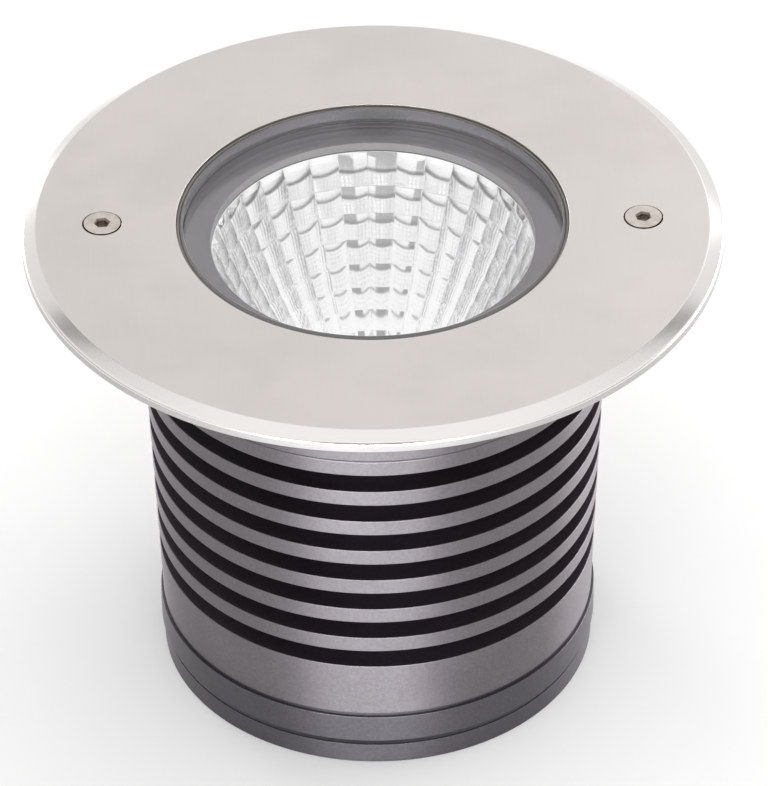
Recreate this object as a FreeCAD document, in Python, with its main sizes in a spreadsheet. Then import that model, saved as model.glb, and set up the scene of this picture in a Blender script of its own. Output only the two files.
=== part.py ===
import FreeCAD, Part
import math
import os
import re
import Sketcher

# In-ground well light. +Z up, origin at the centre of the base's underside, millimetres.
# The round body sits in the ground up to the face plate, which screws down over the glass.

DIMENSIONS = {
    # face plate
    "overallHeight": 112.3,
    "plateDiameter": 150.0,
    "plateEdge": 3.6,
    "bevelWidth": 3.1,
    "bevelDrop": 1.3,
    "edgeBreak": 0.3,
    "openingDiameter": 84.0,
    "registerDepth": 0.5,
    "screwCircle": 115.5,
    "plateScrewHead": 8.4,
    "plateScrewLength": 9.0,
    "plateScrewSocket": 2.5,
    "plateScrewSocketDepth": 1.6,
    "countersink": 8.9,
    "headRim": 0.2,
    "headRecess": 0.05,
    # screw holes, clear and threaded, for both thread sizes
    "screwM4": 4.0,
    "clearM4": 4.5,
    "threadM4": 4.04,
    "screwM3": 3.0,
    "clearM3": 3.2,
    "threadM3": 3.04,
    # collar and its hidden flange
    "flangeDiameter": 126.0,
    "flangeThickness": 6.0,
    "flangeLeadIn": 0.8,
    "registerClearance": 0.4,
    "glassPocketDiameter": 92.8,
    "lowerGasketBore": 82.0,
    "lowerGasketDiameter": 92.4,
    "ledgeHeight": 102.8,
    "collarBore": 81.6,
    "collarSeam": 86.2,
    "bodyTopDiameter": 102.14,
    "bodySeamDiameter": 100.5,
    # finned housing
    "baseSeam": 14.1,
    "bodyLowDiameter": 95.22,
    "seamBreak": 0.4,
    "spigotDiameter": 90.0,
    "spigotHeight": 8.0,
    "chamberDiameter": 76.0,
    "webTop": 55.0,
    "webThickness": 7.0,
    "grooveCount": 7.0,
    "groovePitch": 8.33,
    "grooveWidth": 4.42,
    "firstGrooveTop": 82.27,
    "grooveFloorDiameter": 82.0,
    "sealGrooveWidth": 2.4,
    "sealGrooveDepth": 1.7,
    "sealSection": 1.7,
    "collarSealHeight": 3.0,
    "capSealHeight": 1.6,
    "spigotGap": 0.4,
    "slideClearance": 0.05,
    # glass and gaskets
    "glassDiameter": 82.4,
    "glassUnderside": 104.3,
    "glassRecess": 0.1,
    "glassChamfer": 0.6,
    "lipGap": 0.1,
    "pocketGap": 0.2,
    "lipTop": 111.8,
    # anti-glare ring and reflector
    "trimDiameter": 92.4,
    "trimPlate": 1.0,
    "trimOpening": 71.4,
    "trimLipWall": 1.2,
    "trimClearance": 0.1,
    "reflectorRim": 100.9,
    "reflectorThroat": 59.0,
    "reflectorMouth": 68.8,
    "reflectorNeck": 19.0,
    "reflectorWall": 1.3,
    "reflectorFlange": 75.0,
    "facetColumns": 33.0,
    "facetRows": 10.0,
    "firstRowHeight": 6.15,
    "rowShortening": 0.38,
    "rowsBelowThroat": 0.6,
    "facetBulge": 0.5,
    "facetPhase": 4.48,
    # light source
    "padThickness": 0.3,
    "boardSide": 24.0,
    "boardThickness": 1.5,
    "phosphorDiameter": 14.5,
    "phosphorThickness": 0.6,
    "holderDiameter": 46.0,
    "holderWindow": 20.0,
    "holderScrewSpacing": 35.0,
    "leadSpacing": 34.0,
    "leadDiameter": 1.8,
    "leadHoleDiameter": 5.0,
    "leadBend": 3.0,
    "leadHeight": 1.0,
    "leadNotchLength": 12.0,
    "leadNotchHeight": 2.6,
    "leadEntry": 2.0,
    "smallGap": 0.1,
    # driver
    "driverDiameter": 56.0,
    "driverHeight": 18.0,
    "driverLid": 1.6,
    "driverEarSpan": 72.0,
    "driverEarWidth": 9.0,
    "driverEarThickness": 3.0,
    "driverScrewSpacing": 64.0,
    "terminalLength": 26.0,
    "terminalWidth": 9.0,
    "terminalHeight": 7.6,
    "terminalOffset": 17.0,
    "terminalWire": 2.4,
    # base cap
    "capDiameter": 96.4,
    "capFootDiameter": 95.2,
    "capStep": 6.3,
    "capStepChamfer": 0.6,
    "footBreak": 0.4,
    "capSpigotTop": 20.5,
    "capFloor": 4.0,
    "recessDiameter": 40.0,
    "baseScrewCircle": 85.6,
    "baseScrewPocket": 8.0,
    "baseScrewPocketDepth": 6.0,
    # cable gland
    "glandThread": 16.0,
    "glandHole": 16.2,
    "glandWasher": 1.0,
    "glandWasherDiameter": 22.0,
    "glandHexFlats": 20.0,
    "glandHexHeight": 4.0,
    "glandNutHeight": 9.0,
    "glandNutMouth": 10.0,
    "glandThreadTop": 26.0,
    "glandBore": 10.0,
    "glandSealDiameter": 12.8,
    "glandSealLength": 9.0,
    "cableBore": 8.4,
    "locknutHeight": 4.0,
    "glandNutWeb": 2.0,
    "glandNutThread": 16.04,
}

doc = FreeCAD.newDocument("WellLight")
sheet = doc.addObject("Spreadsheet::Sheet", "Dims")


def fill_sheet():
    for row, (alias, value) in enumerate(DIMENSIONS.items(), start=1):
        sheet.set("A%d" % row, alias)
        sheet.set("B%d" % row, repr(value))
        sheet.setAlias("B%d" % row, alias)
    doc.recompute()


def bind(target, path, formula):
    """Ties a property to a formula written with the sheet's own names."""
    words = re.sub(r"\b(?!sqrt\b)([a-z][A-Za-z]+)", r"Dims.\1", formula)
    target.setExpression(path, words)


# ---- sketches and turned bodies -------------------------------------------------------


def new_body(name):
    body = doc.addObject("PartDesign::Body", name)
    body.Label = name
    return body


def new_sketch(body, name, plane, height=None):
    """A sketch on one of the body's own planes, raised to a height along its normal."""
    sketch = body.newObject("Sketcher::SketchObject", name)
    origin_planes = {part.Role: part for part in body.Origin.OriginFeatures}
    sketch.AttachmentSupport = [(origin_planes[plane], "")]
    sketch.MapMode = "FlatFace"
    if height:
        bind(sketch, "AttachmentOffset.Base.z", height)
    return sketch


def fix_point(sketch, geometry, end, place):
    """Places one sketch point by formulas for its distances from the origin."""
    across = ("DistanceX", place[0], -2, 20.0)
    upward = ("DistanceY", place[1], -1, 30.0)
    for kind, formula, axis, start in (across, upward):
        if formula == "0":
            sketch.addConstraint(Sketcher.Constraint("PointOnObject", geometry, end, axis))
            continue
        constraint = Sketcher.Constraint(kind, -1, 1, geometry, end, start + geometry)
        number = sketch.addConstraint(constraint)
        name = "%s%d" % (kind, number)
        sketch.renameConstraint(number, name)
        bind(sketch, "Constraints." + name, formula)


def outline(sketch, corners):
    """A closed outline of straight sides, each corner a (radius, height) pair of formulas."""
    count = len(corners)
    points = [FreeCAD.Vector(20 + i, 30 + i, 0) for i in range(count)]
    loose = FreeCAD.Vector(0, 0.5, 0)
    for i in range(count):
        sketch.addGeometry(Part.LineSegment(points[i], points[(i + 1) % count] + loose), False)
    for i in range(count):
        sketch.addConstraint(Sketcher.Constraint("Coincident", i, 2, (i + 1) % count, 1))
    for i, corner in enumerate(corners):
        fix_point(sketch, i, 1, corner)


def circle(sketch, x, y, radius):
    drawn = Part.Circle(FreeCAD.Vector(20, 30, 0), FreeCAD.Vector(0, 0, 1), 2.0)
    number = sketch.addGeometry(drawn, False)
    fix_point(sketch, number, 3, (x, y))
    limit = sketch.addConstraint(Sketcher.Constraint("Radius", number, 2.0))
    sketch.renameConstraint(limit, "Radius%d" % limit)
    bind(sketch, "Constraints.Radius%d" % limit, radius)


def turn(body, name, corners, cut=False):
    """Turns an outline about the light's axis, as material or as a cut."""
    sketch = new_sketch(body, name + "Outline", "XZ_Plane")
    outline(sketch, corners)
    kind = "PartDesign::Groove" if cut else "PartDesign::Revolution"
    feature = body.newObject(kind, name)
    feature.Profile = sketch
    feature.ReferenceAxis = (sketch, ["V_Axis"])
    feature.Angle = 360.0
    return feature


def turned(name, corners):
    body = new_body(name)
    turn(body, name + "Turned", corners)
    return body


def drill(body, name, bottom, depth, holes):
    """Straight holes that rise from a height, each an (x, y, radius) triple of formulas."""
    before = volume_of(body)
    sketch = new_sketch(body, name + "Centres", "XY_Plane", bottom)
    for hole in holes:
        circle(sketch, *hole)
    pocket = body.newObject("PartDesign::Pocket", name)
    pocket.Profile = sketch
    pocket.Reversed = True
    bind(pocket, "Length", depth)
    if volume_of(body) >= before:
        raise RuntimeError("%s cuts nothing" % name)


def volume_of(body):
    doc.recompute()
    return body.Shape.Volume


def pair(spacing):
    """Formulas for two places on either side of the axis."""
    return [spacing + " / 2", "-%s / 2" % spacing]


def cross(count, circle_size, turned_by):
    """Formulas for the centres of holes evenly spaced on a circle."""
    steps = [turned_by + 360.0 / count * k for k in range(count)]
    return [("%s / 2 * %.10f" % (circle_size, math.cos(math.radians(a))),
             "%s / 2 * %.10f" % (circle_size, math.sin(math.radians(a)))) for a in steps]


# ---- plain shapes -----------------------------------------------------------------------


def cylinder(name, radius, bottom, height, x="0", y="0"):
    solid = doc.addObject("Part::Cylinder", name)
    bind(solid, "Radius", radius)
    place_solid(solid, height, x, y, bottom)
    return solid


def hexagon(name, across_flats, bottom, height, x="0", y="0"):
    solid = doc.addObject("Part::Prism", name)
    solid.Polygon = 6
    bind(solid, "Circumradius", across_flats + " / sqrt(3)")
    place_solid(solid, height, x, y, bottom)
    return solid


def cone(name, low_radius, high_radius, bottom, height, x, y):
    solid = doc.addObject("Part::Cone", name)
    bind(solid, "Radius1", low_radius)
    bind(solid, "Radius2", high_radius)
    place_solid(solid, height, x, y, bottom)
    return solid


def block(name, length, width, height, x, y, bottom):
    """A block centred on x and y."""
    solid = doc.addObject("Part::Box", name)
    bind(solid, "Length", length)
    bind(solid, "Width", width)
    place_solid(solid, height, "%s - (%s) / 2" % (x, length), "%s - (%s) / 2" % (y, width), bottom)
    return solid


def place_solid(solid, height, x, y, bottom):
    bind(solid, "Height", height)
    bind(solid, "Placement.Base.x", x)
    bind(solid, "Placement.Base.y", y)
    bind(solid, "Placement.Base.z", bottom)


def joined(name, solids):
    fuse = doc.addObject("Part::MultiFuse", name)
    fuse.Shapes = solids
    fuse.Refine = True
    fuse.Label = name
    return fuse


def cut_from(name, base, tool):
    cut = doc.addObject("Part::Cut", name)
    cut.Base = base
    cut.Tool = tool
    cut.Label = name
    return cut


def set_of(name, solids):
    group = doc.addObject("Part::Compound", name)
    group.Links = solids
    group.Label = name
    return group


# ---- fasteners ----------------------------------------------------------------------------


def plate_screw(name, x, y):
    """A countersunk socket screw that points down, its head just under the plate's top."""
    top = "overallHeight - headRecess"
    slope = "(plateScrewHead - screwM4) / 2"
    edge = cylinder(name + "Rim", "plateScrewHead / 2", top + " - headRim", "headRim", x, y)
    seat_low = "%s - headRim - %s" % (top, slope)
    seat = cone(name + "Seat", "screwM4 / 2", "plateScrewHead / 2", seat_low, slope, x, y)
    shank = cylinder(name + "Shank", "screwM4 / 2", top + " - plateScrewLength", "plateScrewLength - 1", x, y)
    solid = joined(name + "Solid", [edge, seat, shank])
    socket = hexagon(name + "Socket", "plateScrewSocket", top + " - plateScrewSocketDepth",
                     "plateScrewSocketDepth + 1", x, y)
    return cut_from(name, solid, socket)


def cap_screw(name, x, y, seat, thread, length, upward, hex_flats):
    """A socket cap screw whose head bears on a seat and whose thread goes up or down."""
    head_height = thread
    head_radius = 0.875 * thread
    head_low = "%s - %s" % (seat, head_height) if upward else seat
    thread_low = seat if upward else "%s - %s" % (seat, length)
    socket_low = "%s - %s" % (seat, head_height + 1) if upward else "%s + %s" % (seat, head_height / 2)
    head = cylinder(name + "Head", "%s" % head_radius, head_low, "%s" % head_height, x, y)
    shank = cylinder(name + "Shank", "%s" % (thread / 2), thread_low, "%s" % length, x, y)
    socket = hexagon(name + "Socket", "%s" % hex_flats, socket_low, "%s" % (head_height / 2 + 1), x, y)
    return cut_from(name, joined(name + "Solid", [head, shank]), socket)


def screws_on_circle(name, make, count, circle_size, turned_by, *sizes):
    centres = cross(count, circle_size, turned_by)
    return set_of(name, [make("%s%d" % (name, k + 1), x, y, *sizes) for k, (x, y) in enumerate(centres)])


# ---- top of the light -----------------------------------------------------------------------


def make_face_plate():
    """Turned stainless ring with a bevelled edge and a register that centres it on the flange."""
    outer = "plateDiameter / 2"
    opening = "openingDiameter / 2"
    low = "overallHeight - plateEdge"
    register = "(flangeDiameter / 2 + registerClearance)"
    body = turned("face_plate", [
        (opening, low + " + registerDepth"),
        (register, low + " + registerDepth"),
        (register, low),
        (outer + " - edgeBreak", low),
        (outer, low + " + edgeBreak"),
        (outer, "overallHeight - bevelDrop"),
        (outer + " - bevelWidth", "overallHeight"),
        (opening + " + edgeBreak", "overallHeight"),
        (opening, "overallHeight - edgeBreak"),
    ])
    doc.recompute()
    sketch = new_sketch(body, "plateScrewCentres", "XY_Plane", "overallHeight")
    for x, y in cross(2, "screwCircle", 0.0):
        circle(sketch, x, "0", "clearM4 / 2")
    doc.recompute()
    before = body.Shape.Volume
    hole = body.newObject("PartDesign::Hole", "plateScrewHoles")
    hole.Profile = sketch
    bind(hole, "Diameter", "clearM4")
    hole.DepthType = 1
    hole.HoleCutType = 2
    hole.HoleCutCustomValues = True
    bind(hole, "HoleCutDiameter", "countersink")
    hole.HoleCutCountersinkAngle = 90.0
    doc.recompute()
    if body.Shape.Volume >= before:
        raise RuntimeError("the countersunk holes cut nothing")
    return body


def make_glass():
    """Disc of thick toughened glass that stands flush in the plate, with ground edges."""
    top = "(overallHeight - glassRecess)"
    return turned("glass_lens", [
        ("0", "glassUnderside"),
        ("glassDiameter / 2 - edgeBreak", "glassUnderside"),
        ("glassDiameter / 2", "glassUnderside + edgeBreak"),
        ("glassDiameter / 2", top + " - glassChamfer"),
        ("glassDiameter / 2 - glassChamfer", top),
        ("0", top),
    ])


def make_upper_gasket():
    """Seal that the plate squeezes against the glass: a thick ring with a lip up the gap."""
    inner = "glassDiameter / 2 + lipGap"
    outer = "glassPocketDiameter / 2 - pocketGap"
    under_plate = "overallHeight - plateEdge + registerDepth"
    return turned("upper_lens_gasket", [
        (inner, "glassUnderside"),
        (outer, "glassUnderside"),
        (outer, under_plate),
        ("openingDiameter / 2 - slideClearance", under_plate),
        ("openingDiameter / 2 - slideClearance", "lipTop"),
        (inner, "lipTop"),
    ])


def make_lower_gasket():
    """Flat gasket under the anti-glare ring, on the collar's ledge."""
    return turned("lower_lens_gasket", [
        ("lowerGasketBore / 2", "ledgeHeight"),
        ("lowerGasketDiameter / 2", "ledgeHeight"),
        ("lowerGasketDiameter / 2", "glassUnderside - trimPlate"),
        ("lowerGasketBore / 2", "glassUnderside - trimPlate"),
    ])


def make_collar():
    """Upper ring of the body: tapered skirt below, screw flange and glass pocket above."""
    flange_top = "overallHeight - plateEdge + registerDepth"
    flange_low = flange_top + " - flangeThickness"
    skirt_top = "(bodyTopDiameter / 2)"
    skirt_low = "(bodySeamDiameter / 2)"
    lean = "(%s - %s) / (overallHeight - plateEdge - collarSeam)" % (skirt_top, skirt_low)
    at_flange = "%s - (flangeThickness - registerDepth) * %s" % (skirt_top, lean)
    bore = "spigotDiameter / 2 + slideClearance"
    socket_top = "collarSeam + spigotHeight + spigotGap"
    body = turned("collar", [
        (bore, "collarSeam"),
        (skirt_low + " - seamBreak", "collarSeam"),
        (skirt_low, "collarSeam + seamBreak"),
        (at_flange, flange_low),
        ("flangeDiameter / 2 - edgeBreak", flange_low),
        ("flangeDiameter / 2", flange_low + " + edgeBreak"),
        ("flangeDiameter / 2", flange_top + " - flangeLeadIn"),
        ("flangeDiameter / 2 - flangeLeadIn", flange_top),
        ("glassPocketDiameter / 2", flange_top),
        ("glassPocketDiameter / 2", "ledgeHeight"),
        ("collarBore / 2", "ledgeHeight"),
        ("collarBore / 2", socket_top),
        (bore, socket_top),
    ])
    holes = [(x, "0", "threadM4 / 2") for x, y in cross(2, "screwCircle", 0.0)]
    drill(body, "plateScrewThreads", flange_low + " - 1", "flangeThickness + 2", holes)
    return body


def make_trim_ring():
    """Dark anti-glare ring: a flat seat for the glass with a lip down to the reflector."""
    lip = "trimOpening / 2"
    low = "reflectorRim + trimClearance"
    return turned("trim_ring", [
        (lip, low),
        (lip + " + trimLipWall", low),
        (lip + " + trimLipWall", "glassUnderside - trimPlate"),
        ("trimDiameter / 2", "glassUnderside - trimPlate"),
        ("trimDiameter / 2", "glassUnderside"),
        (lip + " + edgeBreak", "glassUnderside"),
        (lip, "glassUnderside - edgeBreak"),
    ])


# ---- reflector ----------------------------------------------------------------------------


def size(alias):
    return float(sheet.get(alias))


def reflector_radius(height):
    """Radius of the parabolic bowl at a height."""
    mouth = size("reflectorMouth") / 2
    neck = size("reflectorNeck") / 2
    depth = size("reflectorRim") - size("reflectorThroat")
    rise = (height - size("reflectorThroat")) / depth
    return math.sqrt(neck ** 2 + (mouth ** 2 - neck ** 2) * rise)


def row_heights():
    """Edges of the facet rows from the throat up; the rows grow towards the mouth."""
    levels = []
    row_height = size("firstRowHeight")
    level = size("reflectorThroat") - size("rowsBelowThroat")
    heights = [row_height - size("rowShortening") * k for k in range(int(size("facetRows")))]
    for height in reversed(heights):
        levels.append(level)
        level += height
    return [h for h in levels if h > size("reflectorThroat")] + [size("reflectorRim")]


def scalloped_ring(radius, height):
    """One level of the bowl: an arc for each column, bulging in towards the axis."""
    columns = int(size("facetColumns"))
    bulge = size("facetBulge") * radius / reflector_radius(size("reflectorRim"))
    step = 2 * math.pi / columns
    phase = math.radians(size("facetPhase"))
    inward = radius * math.cos(step / 2) - bulge
    arcs = []
    for k in range(columns):
        start = phase + step * k
        ends = [polar(radius, start, height), polar(radius, start + step, height)]
        middle = polar(inward, start + step / 2, height)
        arcs.append(Part.Arc(ends[0], middle, ends[1]).toShape())
    return Part.Wire(arcs)


def polar(radius, angle, height):
    return FreeCAD.Vector(radius * math.cos(angle), radius * math.sin(angle), height)


def reflector_shell():
    """Outside of the bowl: an even wall, a seat at the throat and a thin flange at the mouth."""
    rim = size("reflectorRim")
    throat = size("reflectorThroat")
    wall = size("reflectorWall")
    flange = size("reflectorFlange") / 2
    under_flange = rim - wall
    steps = 6
    levels = [throat + (under_flange - throat) * k / steps for k in range(steps + 1)]
    curve = [FreeCAD.Vector(reflector_radius(h) + wall, 0, h) for h in levels]
    side = Part.BSplineCurve()
    side.interpolate(curve)
    corners = [curve[-1], FreeCAD.Vector(flange, 0, under_flange), FreeCAD.Vector(flange, 0, rim),
               FreeCAD.Vector(0, 0, rim), FreeCAD.Vector(0, 0, throat), curve[0]]
    edges = [side.toShape()] + [Part.makeLine(a, b) for a, b in zip(corners, corners[1:])]
    section = Part.Face(Part.Wire(edges))
    return section.revolve(FreeCAD.Vector(0, 0, 0), FreeCAD.Vector(0, 0, 1), 360)


def make_reflector():
    """Metallised bowl of convex pillow facets, lofted level by level and cut from its shell."""
    throat = size("reflectorThroat")
    levels = [throat] + row_heights()
    rings = [scalloped_ring(reflector_radius(h), h) for h in levels]
    below = scalloped_ring(reflector_radius(throat), throat - 1)
    above = scalloped_ring(reflector_radius(levels[-1]), levels[-1] + 1)
    bowl = Part.makeLoft([below] + rings + [above], True, True)
    reflector = doc.addObject("Part::Feature", "reflector")
    reflector.Shape = reflector_shell().cut(bowl)
    reflector.Label = "reflector"
    return reflector


# ---- light source -------------------------------------------------------------------------


def make_light_source():
    pad_top = "webTop + padThickness"
    board_top = pad_top + " + boardThickness"
    pad = block("thermal_pad", "boardSide", "boardSide", "padThickness", "0", "0", "webTop")
    board = block("led_board", "boardSide", "boardSide", "boardThickness", "0", "0", pad_top)
    phosphor = cylinder("led_phosphor", "phosphorDiameter / 2", board_top, "phosphorThickness")
    return [pad, board, phosphor]


def make_led_holder():
    """Round plastic clamp with a window over the board, a pocket for it and two screw holes."""
    height = "(reflectorThroat - webTop)"
    disc = cylinder("holderDisc", "holderDiameter / 2", "webTop", height)
    side = "boardSide + 2 * smallGap"
    pocket = block("holderPocket", side, side, "padThickness + boardThickness", "0", "0", "webTop")
    window = cylinder("holderWindow", "holderWindow / 2", "webTop", height + " + 1")
    holes = [cylinder("holderHole%d" % k, "clearM3 / 2", "webTop - 1", height + " + 2", "0", y)
             for k, y in enumerate(pair("holderScrewSpacing"))]
    notches = [block("leadNotch%d" % k, "leadNotchLength", "leadDiameter + 4 * smallGap", "leadNotchHeight",
                     x, "0", "webTop") for k, x in enumerate(pair("leadSpacing"))]
    return cut_from("led_holder", disc, joined("holderCuts", [pocket, window] + holes + notches))


def lead_path(side):
    """A lead rises through the web, bends a quarter turn and runs in to the board's edge."""
    x = side * size("leadSpacing") / 2
    low = size("webTop") - size("webThickness") - size("leadEntry")
    run = size("webTop") + size("leadHeight")
    bend = size("leadBend")
    board = side * (size("boardSide") / 2 + size("smallGap"))
    corner = FreeCAD.Vector(x - side * bend, 0, run - bend)
    middle = corner + FreeCAD.Vector(side * bend * math.sin(math.pi / 4), 0, bend * math.sin(math.pi / 4))
    rise_end = FreeCAD.Vector(x, 0, run - bend)
    run_start = FreeCAD.Vector(x - side * bend, 0, run)
    rise = Part.makeLine(FreeCAD.Vector(x, 0, low), rise_end)
    turn_in = Part.Arc(rise_end, middle, run_start).toShape()
    return Part.Wire([rise, turn_in, Part.makeLine(run_start, FreeCAD.Vector(board, 0, run))])


def make_leads():
    """The pair of leads from the driver to the board, one on each side."""
    tubes = []
    for side in (1, -1):
        path = lead_path(side)
        start = path.Vertexes[0].Point
        ring = Part.Wire(Part.makeCircle(size("leadDiameter") / 2, start, FreeCAD.Vector(0, 0, 1)))
        tubes.append(path.makePipeShell([ring], True, False))
    leads = doc.addObject("Part::Feature", "led_leads")
    leads.Shape = Part.makeCompound(tubes)
    leads.Label = "led_leads"
    return leads


# ---- finned housing -------------------------------------------------------------------------


def make_housing():
    """Tapered aluminium body: bowl chamber above the web, driver chamber below, ring fins outside."""
    chamber = "chamberDiameter / 2"
    seam = "bodySeamDiameter / 2"
    low = "bodyLowDiameter / 2"
    spigot = "spigotDiameter / 2"
    seal_low = "collarSeam + collarSealHeight"
    body = turned("finned_housing", [
        ("0", "webTop"),
        (chamber, "webTop"),
        (chamber, "collarSeam + spigotHeight"),
        (spigot, "collarSeam + spigotHeight"),
        (spigot, seal_low + " + sealGrooveWidth"),
        (spigot + " - sealGrooveDepth", seal_low + " + sealGrooveWidth"),
        (spigot + " - sealGrooveDepth", seal_low),
        (spigot, seal_low),
        (spigot, "collarSeam"),
        (seam + " - seamBreak", "collarSeam"),
        (seam, "collarSeam - seamBreak"),
        (low, "baseSeam + seamBreak"),
        (low + " - seamBreak", "baseSeam"),
        (chamber, "baseSeam"),
        (chamber, "webTop - webThickness"),
        ("0", "webTop - webThickness"),
    ])
    before = volume_of(body)
    groove = turn(body, "finGroove", [
        ("grooveFloorDiameter / 2", "firstGrooveTop - grooveWidth"),
        ("bodySeamDiameter / 2 + 2", "firstGrooveTop - grooveWidth"),
        ("bodySeamDiameter / 2 + 2", "firstGrooveTop"),
        ("grooveFloorDiameter / 2", "firstGrooveTop"),
    ], cut=True)
    repeat = body.newObject("PartDesign::LinearPattern", "finGrooves")
    repeat.Originals = [groove]
    repeat.Direction = (groove.Profile[0], ["V_Axis"])
    repeat.Reversed = True
    bind(repeat, "Length", "groovePitch * (grooveCount - 1)")
    bind(repeat, "Occurrences", "grooveCount")
    body.Tip = repeat
    if volume_of(body) >= before:
        raise RuntimeError("the fin grooves cut nothing")
    drill(body, "leadHoles", "webTop - webThickness - 1", "webThickness + 2",
          [(x, "0", "leadHoleDiameter / 2") for x in pair("leadSpacing")])
    drill(body, "holderThreads", "webTop - 5", "6",
          [("0", y, "threadM3 / 2") for y in pair("holderScrewSpacing")])
    drill(body, "driverThreads", "webTop - webThickness - 1", "6",
          [(x, "0", "threadM3 / 2") for x in pair("driverScrewSpacing")])
    drill(body, "capThreads", "baseSeam - 1", "12",
          [(x, y, "threadM4 / 2") for x, y in cross(4, "baseScrewCircle", 45.0)])
    return body


def seal_ring(name, centre_radius, height):
    """A round rubber ring in its groove."""
    ring = doc.addObject("Part::Torus", name)
    ring.Label = name
    bind(ring, "Radius1", centre_radius)
    bind(ring, "Radius2", "sealSection / 2")
    bind(ring, "Placement.Base.z", height)
    return ring


# ---- driver ---------------------------------------------------------------------------------


def make_driver():
    """Potted driver under the web: a round tub with two ears, its lid and a terminal block."""
    top = "webTop - webThickness"
    low = top + " - driverHeight"
    tub = cylinder("driverTub", "driverDiameter / 2", low, "driverHeight")
    ears = block("driverEars", "driverEarSpan", "driverEarWidth", "driverEarThickness", "0", "0",
                 top + " - driverEarThickness")
    holes = [cylinder("driverHole%d" % k, "clearM3 / 2", top + " - driverHeight / 2", "driverHeight", x)
             for k, x in enumerate(pair("driverScrewSpacing"))]
    sockets = [cylinder("leadSocket%d" % k, "leadDiameter / 2 + smallGap", top + " - leadEntry",
                        "leadEntry + 1", x) for k, x in enumerate(pair("leadSpacing"))]
    solid = joined("driverSolid", [tub, ears])
    case = cut_from("driver_case", solid, joined("driverCuts", holes + sockets))
    lid = cylinder("driver_lid", "driverDiameter / 2 - 1", low + " - driverLid", "driverLid")
    return [case, lid, make_terminal_block(low + " - driverLid - terminalHeight")]


def make_terminal_block(low):
    """Three-way connector block that takes the supply cores."""
    shell = block("terminalShell", "terminalLength", "terminalWidth", "terminalHeight",
                  "0", "terminalOffset", low)
    ways = []
    for k in (-1, 0, 1):
        x = "terminalLength / 3 * %d" % k
        ways.append(cylinder("terminalWay%d" % (k + 2), "terminalWire / 2", low + " - 1",
                             "terminalHeight - 1", x, "terminalOffset"))
    return cut_from("terminal_block", shell, joined("terminalWays", ways))


# ---- base cap and gland ---------------------------------------------------------------------


def make_base_cap():
    """Bottom cap: a stepped ring foot, a sealed spigot and a deep recess that hides the gland."""
    spigot = "chamberDiameter / 2 - slideClearance"
    step = "capFootDiameter / 2"
    seal_low = "baseSeam + capSealHeight"
    body = turned("base_cap", [
        ("glandHole / 2", "capSpigotTop - capFloor"),
        ("recessDiameter / 2", "capSpigotTop - capFloor"),
        ("recessDiameter / 2", "edgeBreak"),
        ("recessDiameter / 2 + edgeBreak", "0"),
        (step + " - footBreak", "0"),
        (step, "footBreak"),
        (step, "capStep"),
        ("capDiameter / 2", "capStep + capStepChamfer"),
        ("capDiameter / 2", "baseSeam - seamBreak"),
        ("capDiameter / 2 - seamBreak", "baseSeam"),
        (spigot, "baseSeam"),
        (spigot, seal_low),
        (spigot + " - sealGrooveDepth", seal_low),
        (spigot + " - sealGrooveDepth", seal_low + " + sealGrooveWidth"),
        (spigot, seal_low + " + sealGrooveWidth"),
        (spigot, "capSpigotTop"),
        ("glandHole / 2", "capSpigotTop"),
    ])
    centres = cross(4, "baseScrewCircle", 45.0)
    drill(body, "capScrewHoles", "-1", "baseSeam + 2", [(x, y, "clearM4 / 2") for x, y in centres])
    drill(body, "capScrewPockets", "-1", "baseScrewPocketDepth + 1",
          [(x, y, "baseScrewPocket / 2") for x, y in centres])
    return body


def make_gland():
    """Cable gland in the cap's floor; its nut hangs in the recess, clear of the ground."""
    floor_low = "capSpigotTop - capFloor"
    washer_low = floor_low + " - glandWasher"
    hex_low = washer_low + " - glandHexHeight"
    nut_low = hex_low + " - glandNutHeight"
    seal_low = nut_low + " + glandNutWeb"
    thread = "glandThread / 2"
    washer = cut_from("gland_washer",
                      cylinder("washerDisc", "glandWasherDiameter / 2", washer_low, "glandWasher"),
                      cylinder("washerHole", thread + " + smallGap", washer_low + " - 1", "glandWasher + 2"))
    stem_low = seal_low + " + 1"
    stem = cylinder("glandStem", thread, stem_low, "glandThreadTop - (%s)" % stem_low)
    flats = hexagon("glandFlats", "glandHexFlats", hex_low, "glandHexHeight")
    bore = cylinder("glandBoreCut", "glandBore / 2", "0", "glandThreadTop + 1")
    seat = cylinder("glandSealSeat", "glandSealDiameter / 2 + slideClearance", "0",
                    seal_low + " + glandSealLength")
    body = cut_from("gland_body", joined("glandSolid", [stem, flats]), joined("glandCuts", [bore, seat]))
    seal = cut_from("gland_seal",
                    cylinder("sealSleeve", "glandSealDiameter / 2", seal_low, "glandSealLength"),
                    cylinder("sealBore", "cableBore / 2", "0", "glandThreadTop"))
    locknut = cut_from("gland_locknut",
                       hexagon("locknutFlats", "glandHexFlats", "capSpigotTop", "locknutHeight"),
                       cylinder("locknutThread", "glandNutThread / 2", "capSpigotTop - 1",
                                "locknutHeight + 2"))
    return [washer, body, seal, locknut, make_gland_nut(nut_low)]


def make_gland_nut(low):
    """Hexagonal compression nut with a coned mouth."""
    nut = hexagon("nutFlats", "glandHexFlats", low, "glandNutHeight")
    dome = turned("nutDome", [
        ("glandNutMouth / 2", low),
        ("glandHexFlats / 2 - 2", low),
        ("glandHexFlats / 2 + 2", low + " + 3"),
        ("glandHexFlats / 2 + 2", low + " + glandNutHeight"),
        ("glandNutThread / 2", low + " + glandNutHeight"),
        ("glandNutThread / 2", low + " + glandNutWeb + 0.5"),
        ("glandSealDiameter / 2 + slideClearance", low + " + glandNutWeb"),
        ("glandNutMouth / 2", low + " + glandNutWeb"),
    ])
    domed = doc.addObject("Part::Common", "gland_nut")
    domed.Base = nut
    domed.Tool = dome
    domed.Label = "gland_nut"
    return domed


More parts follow.
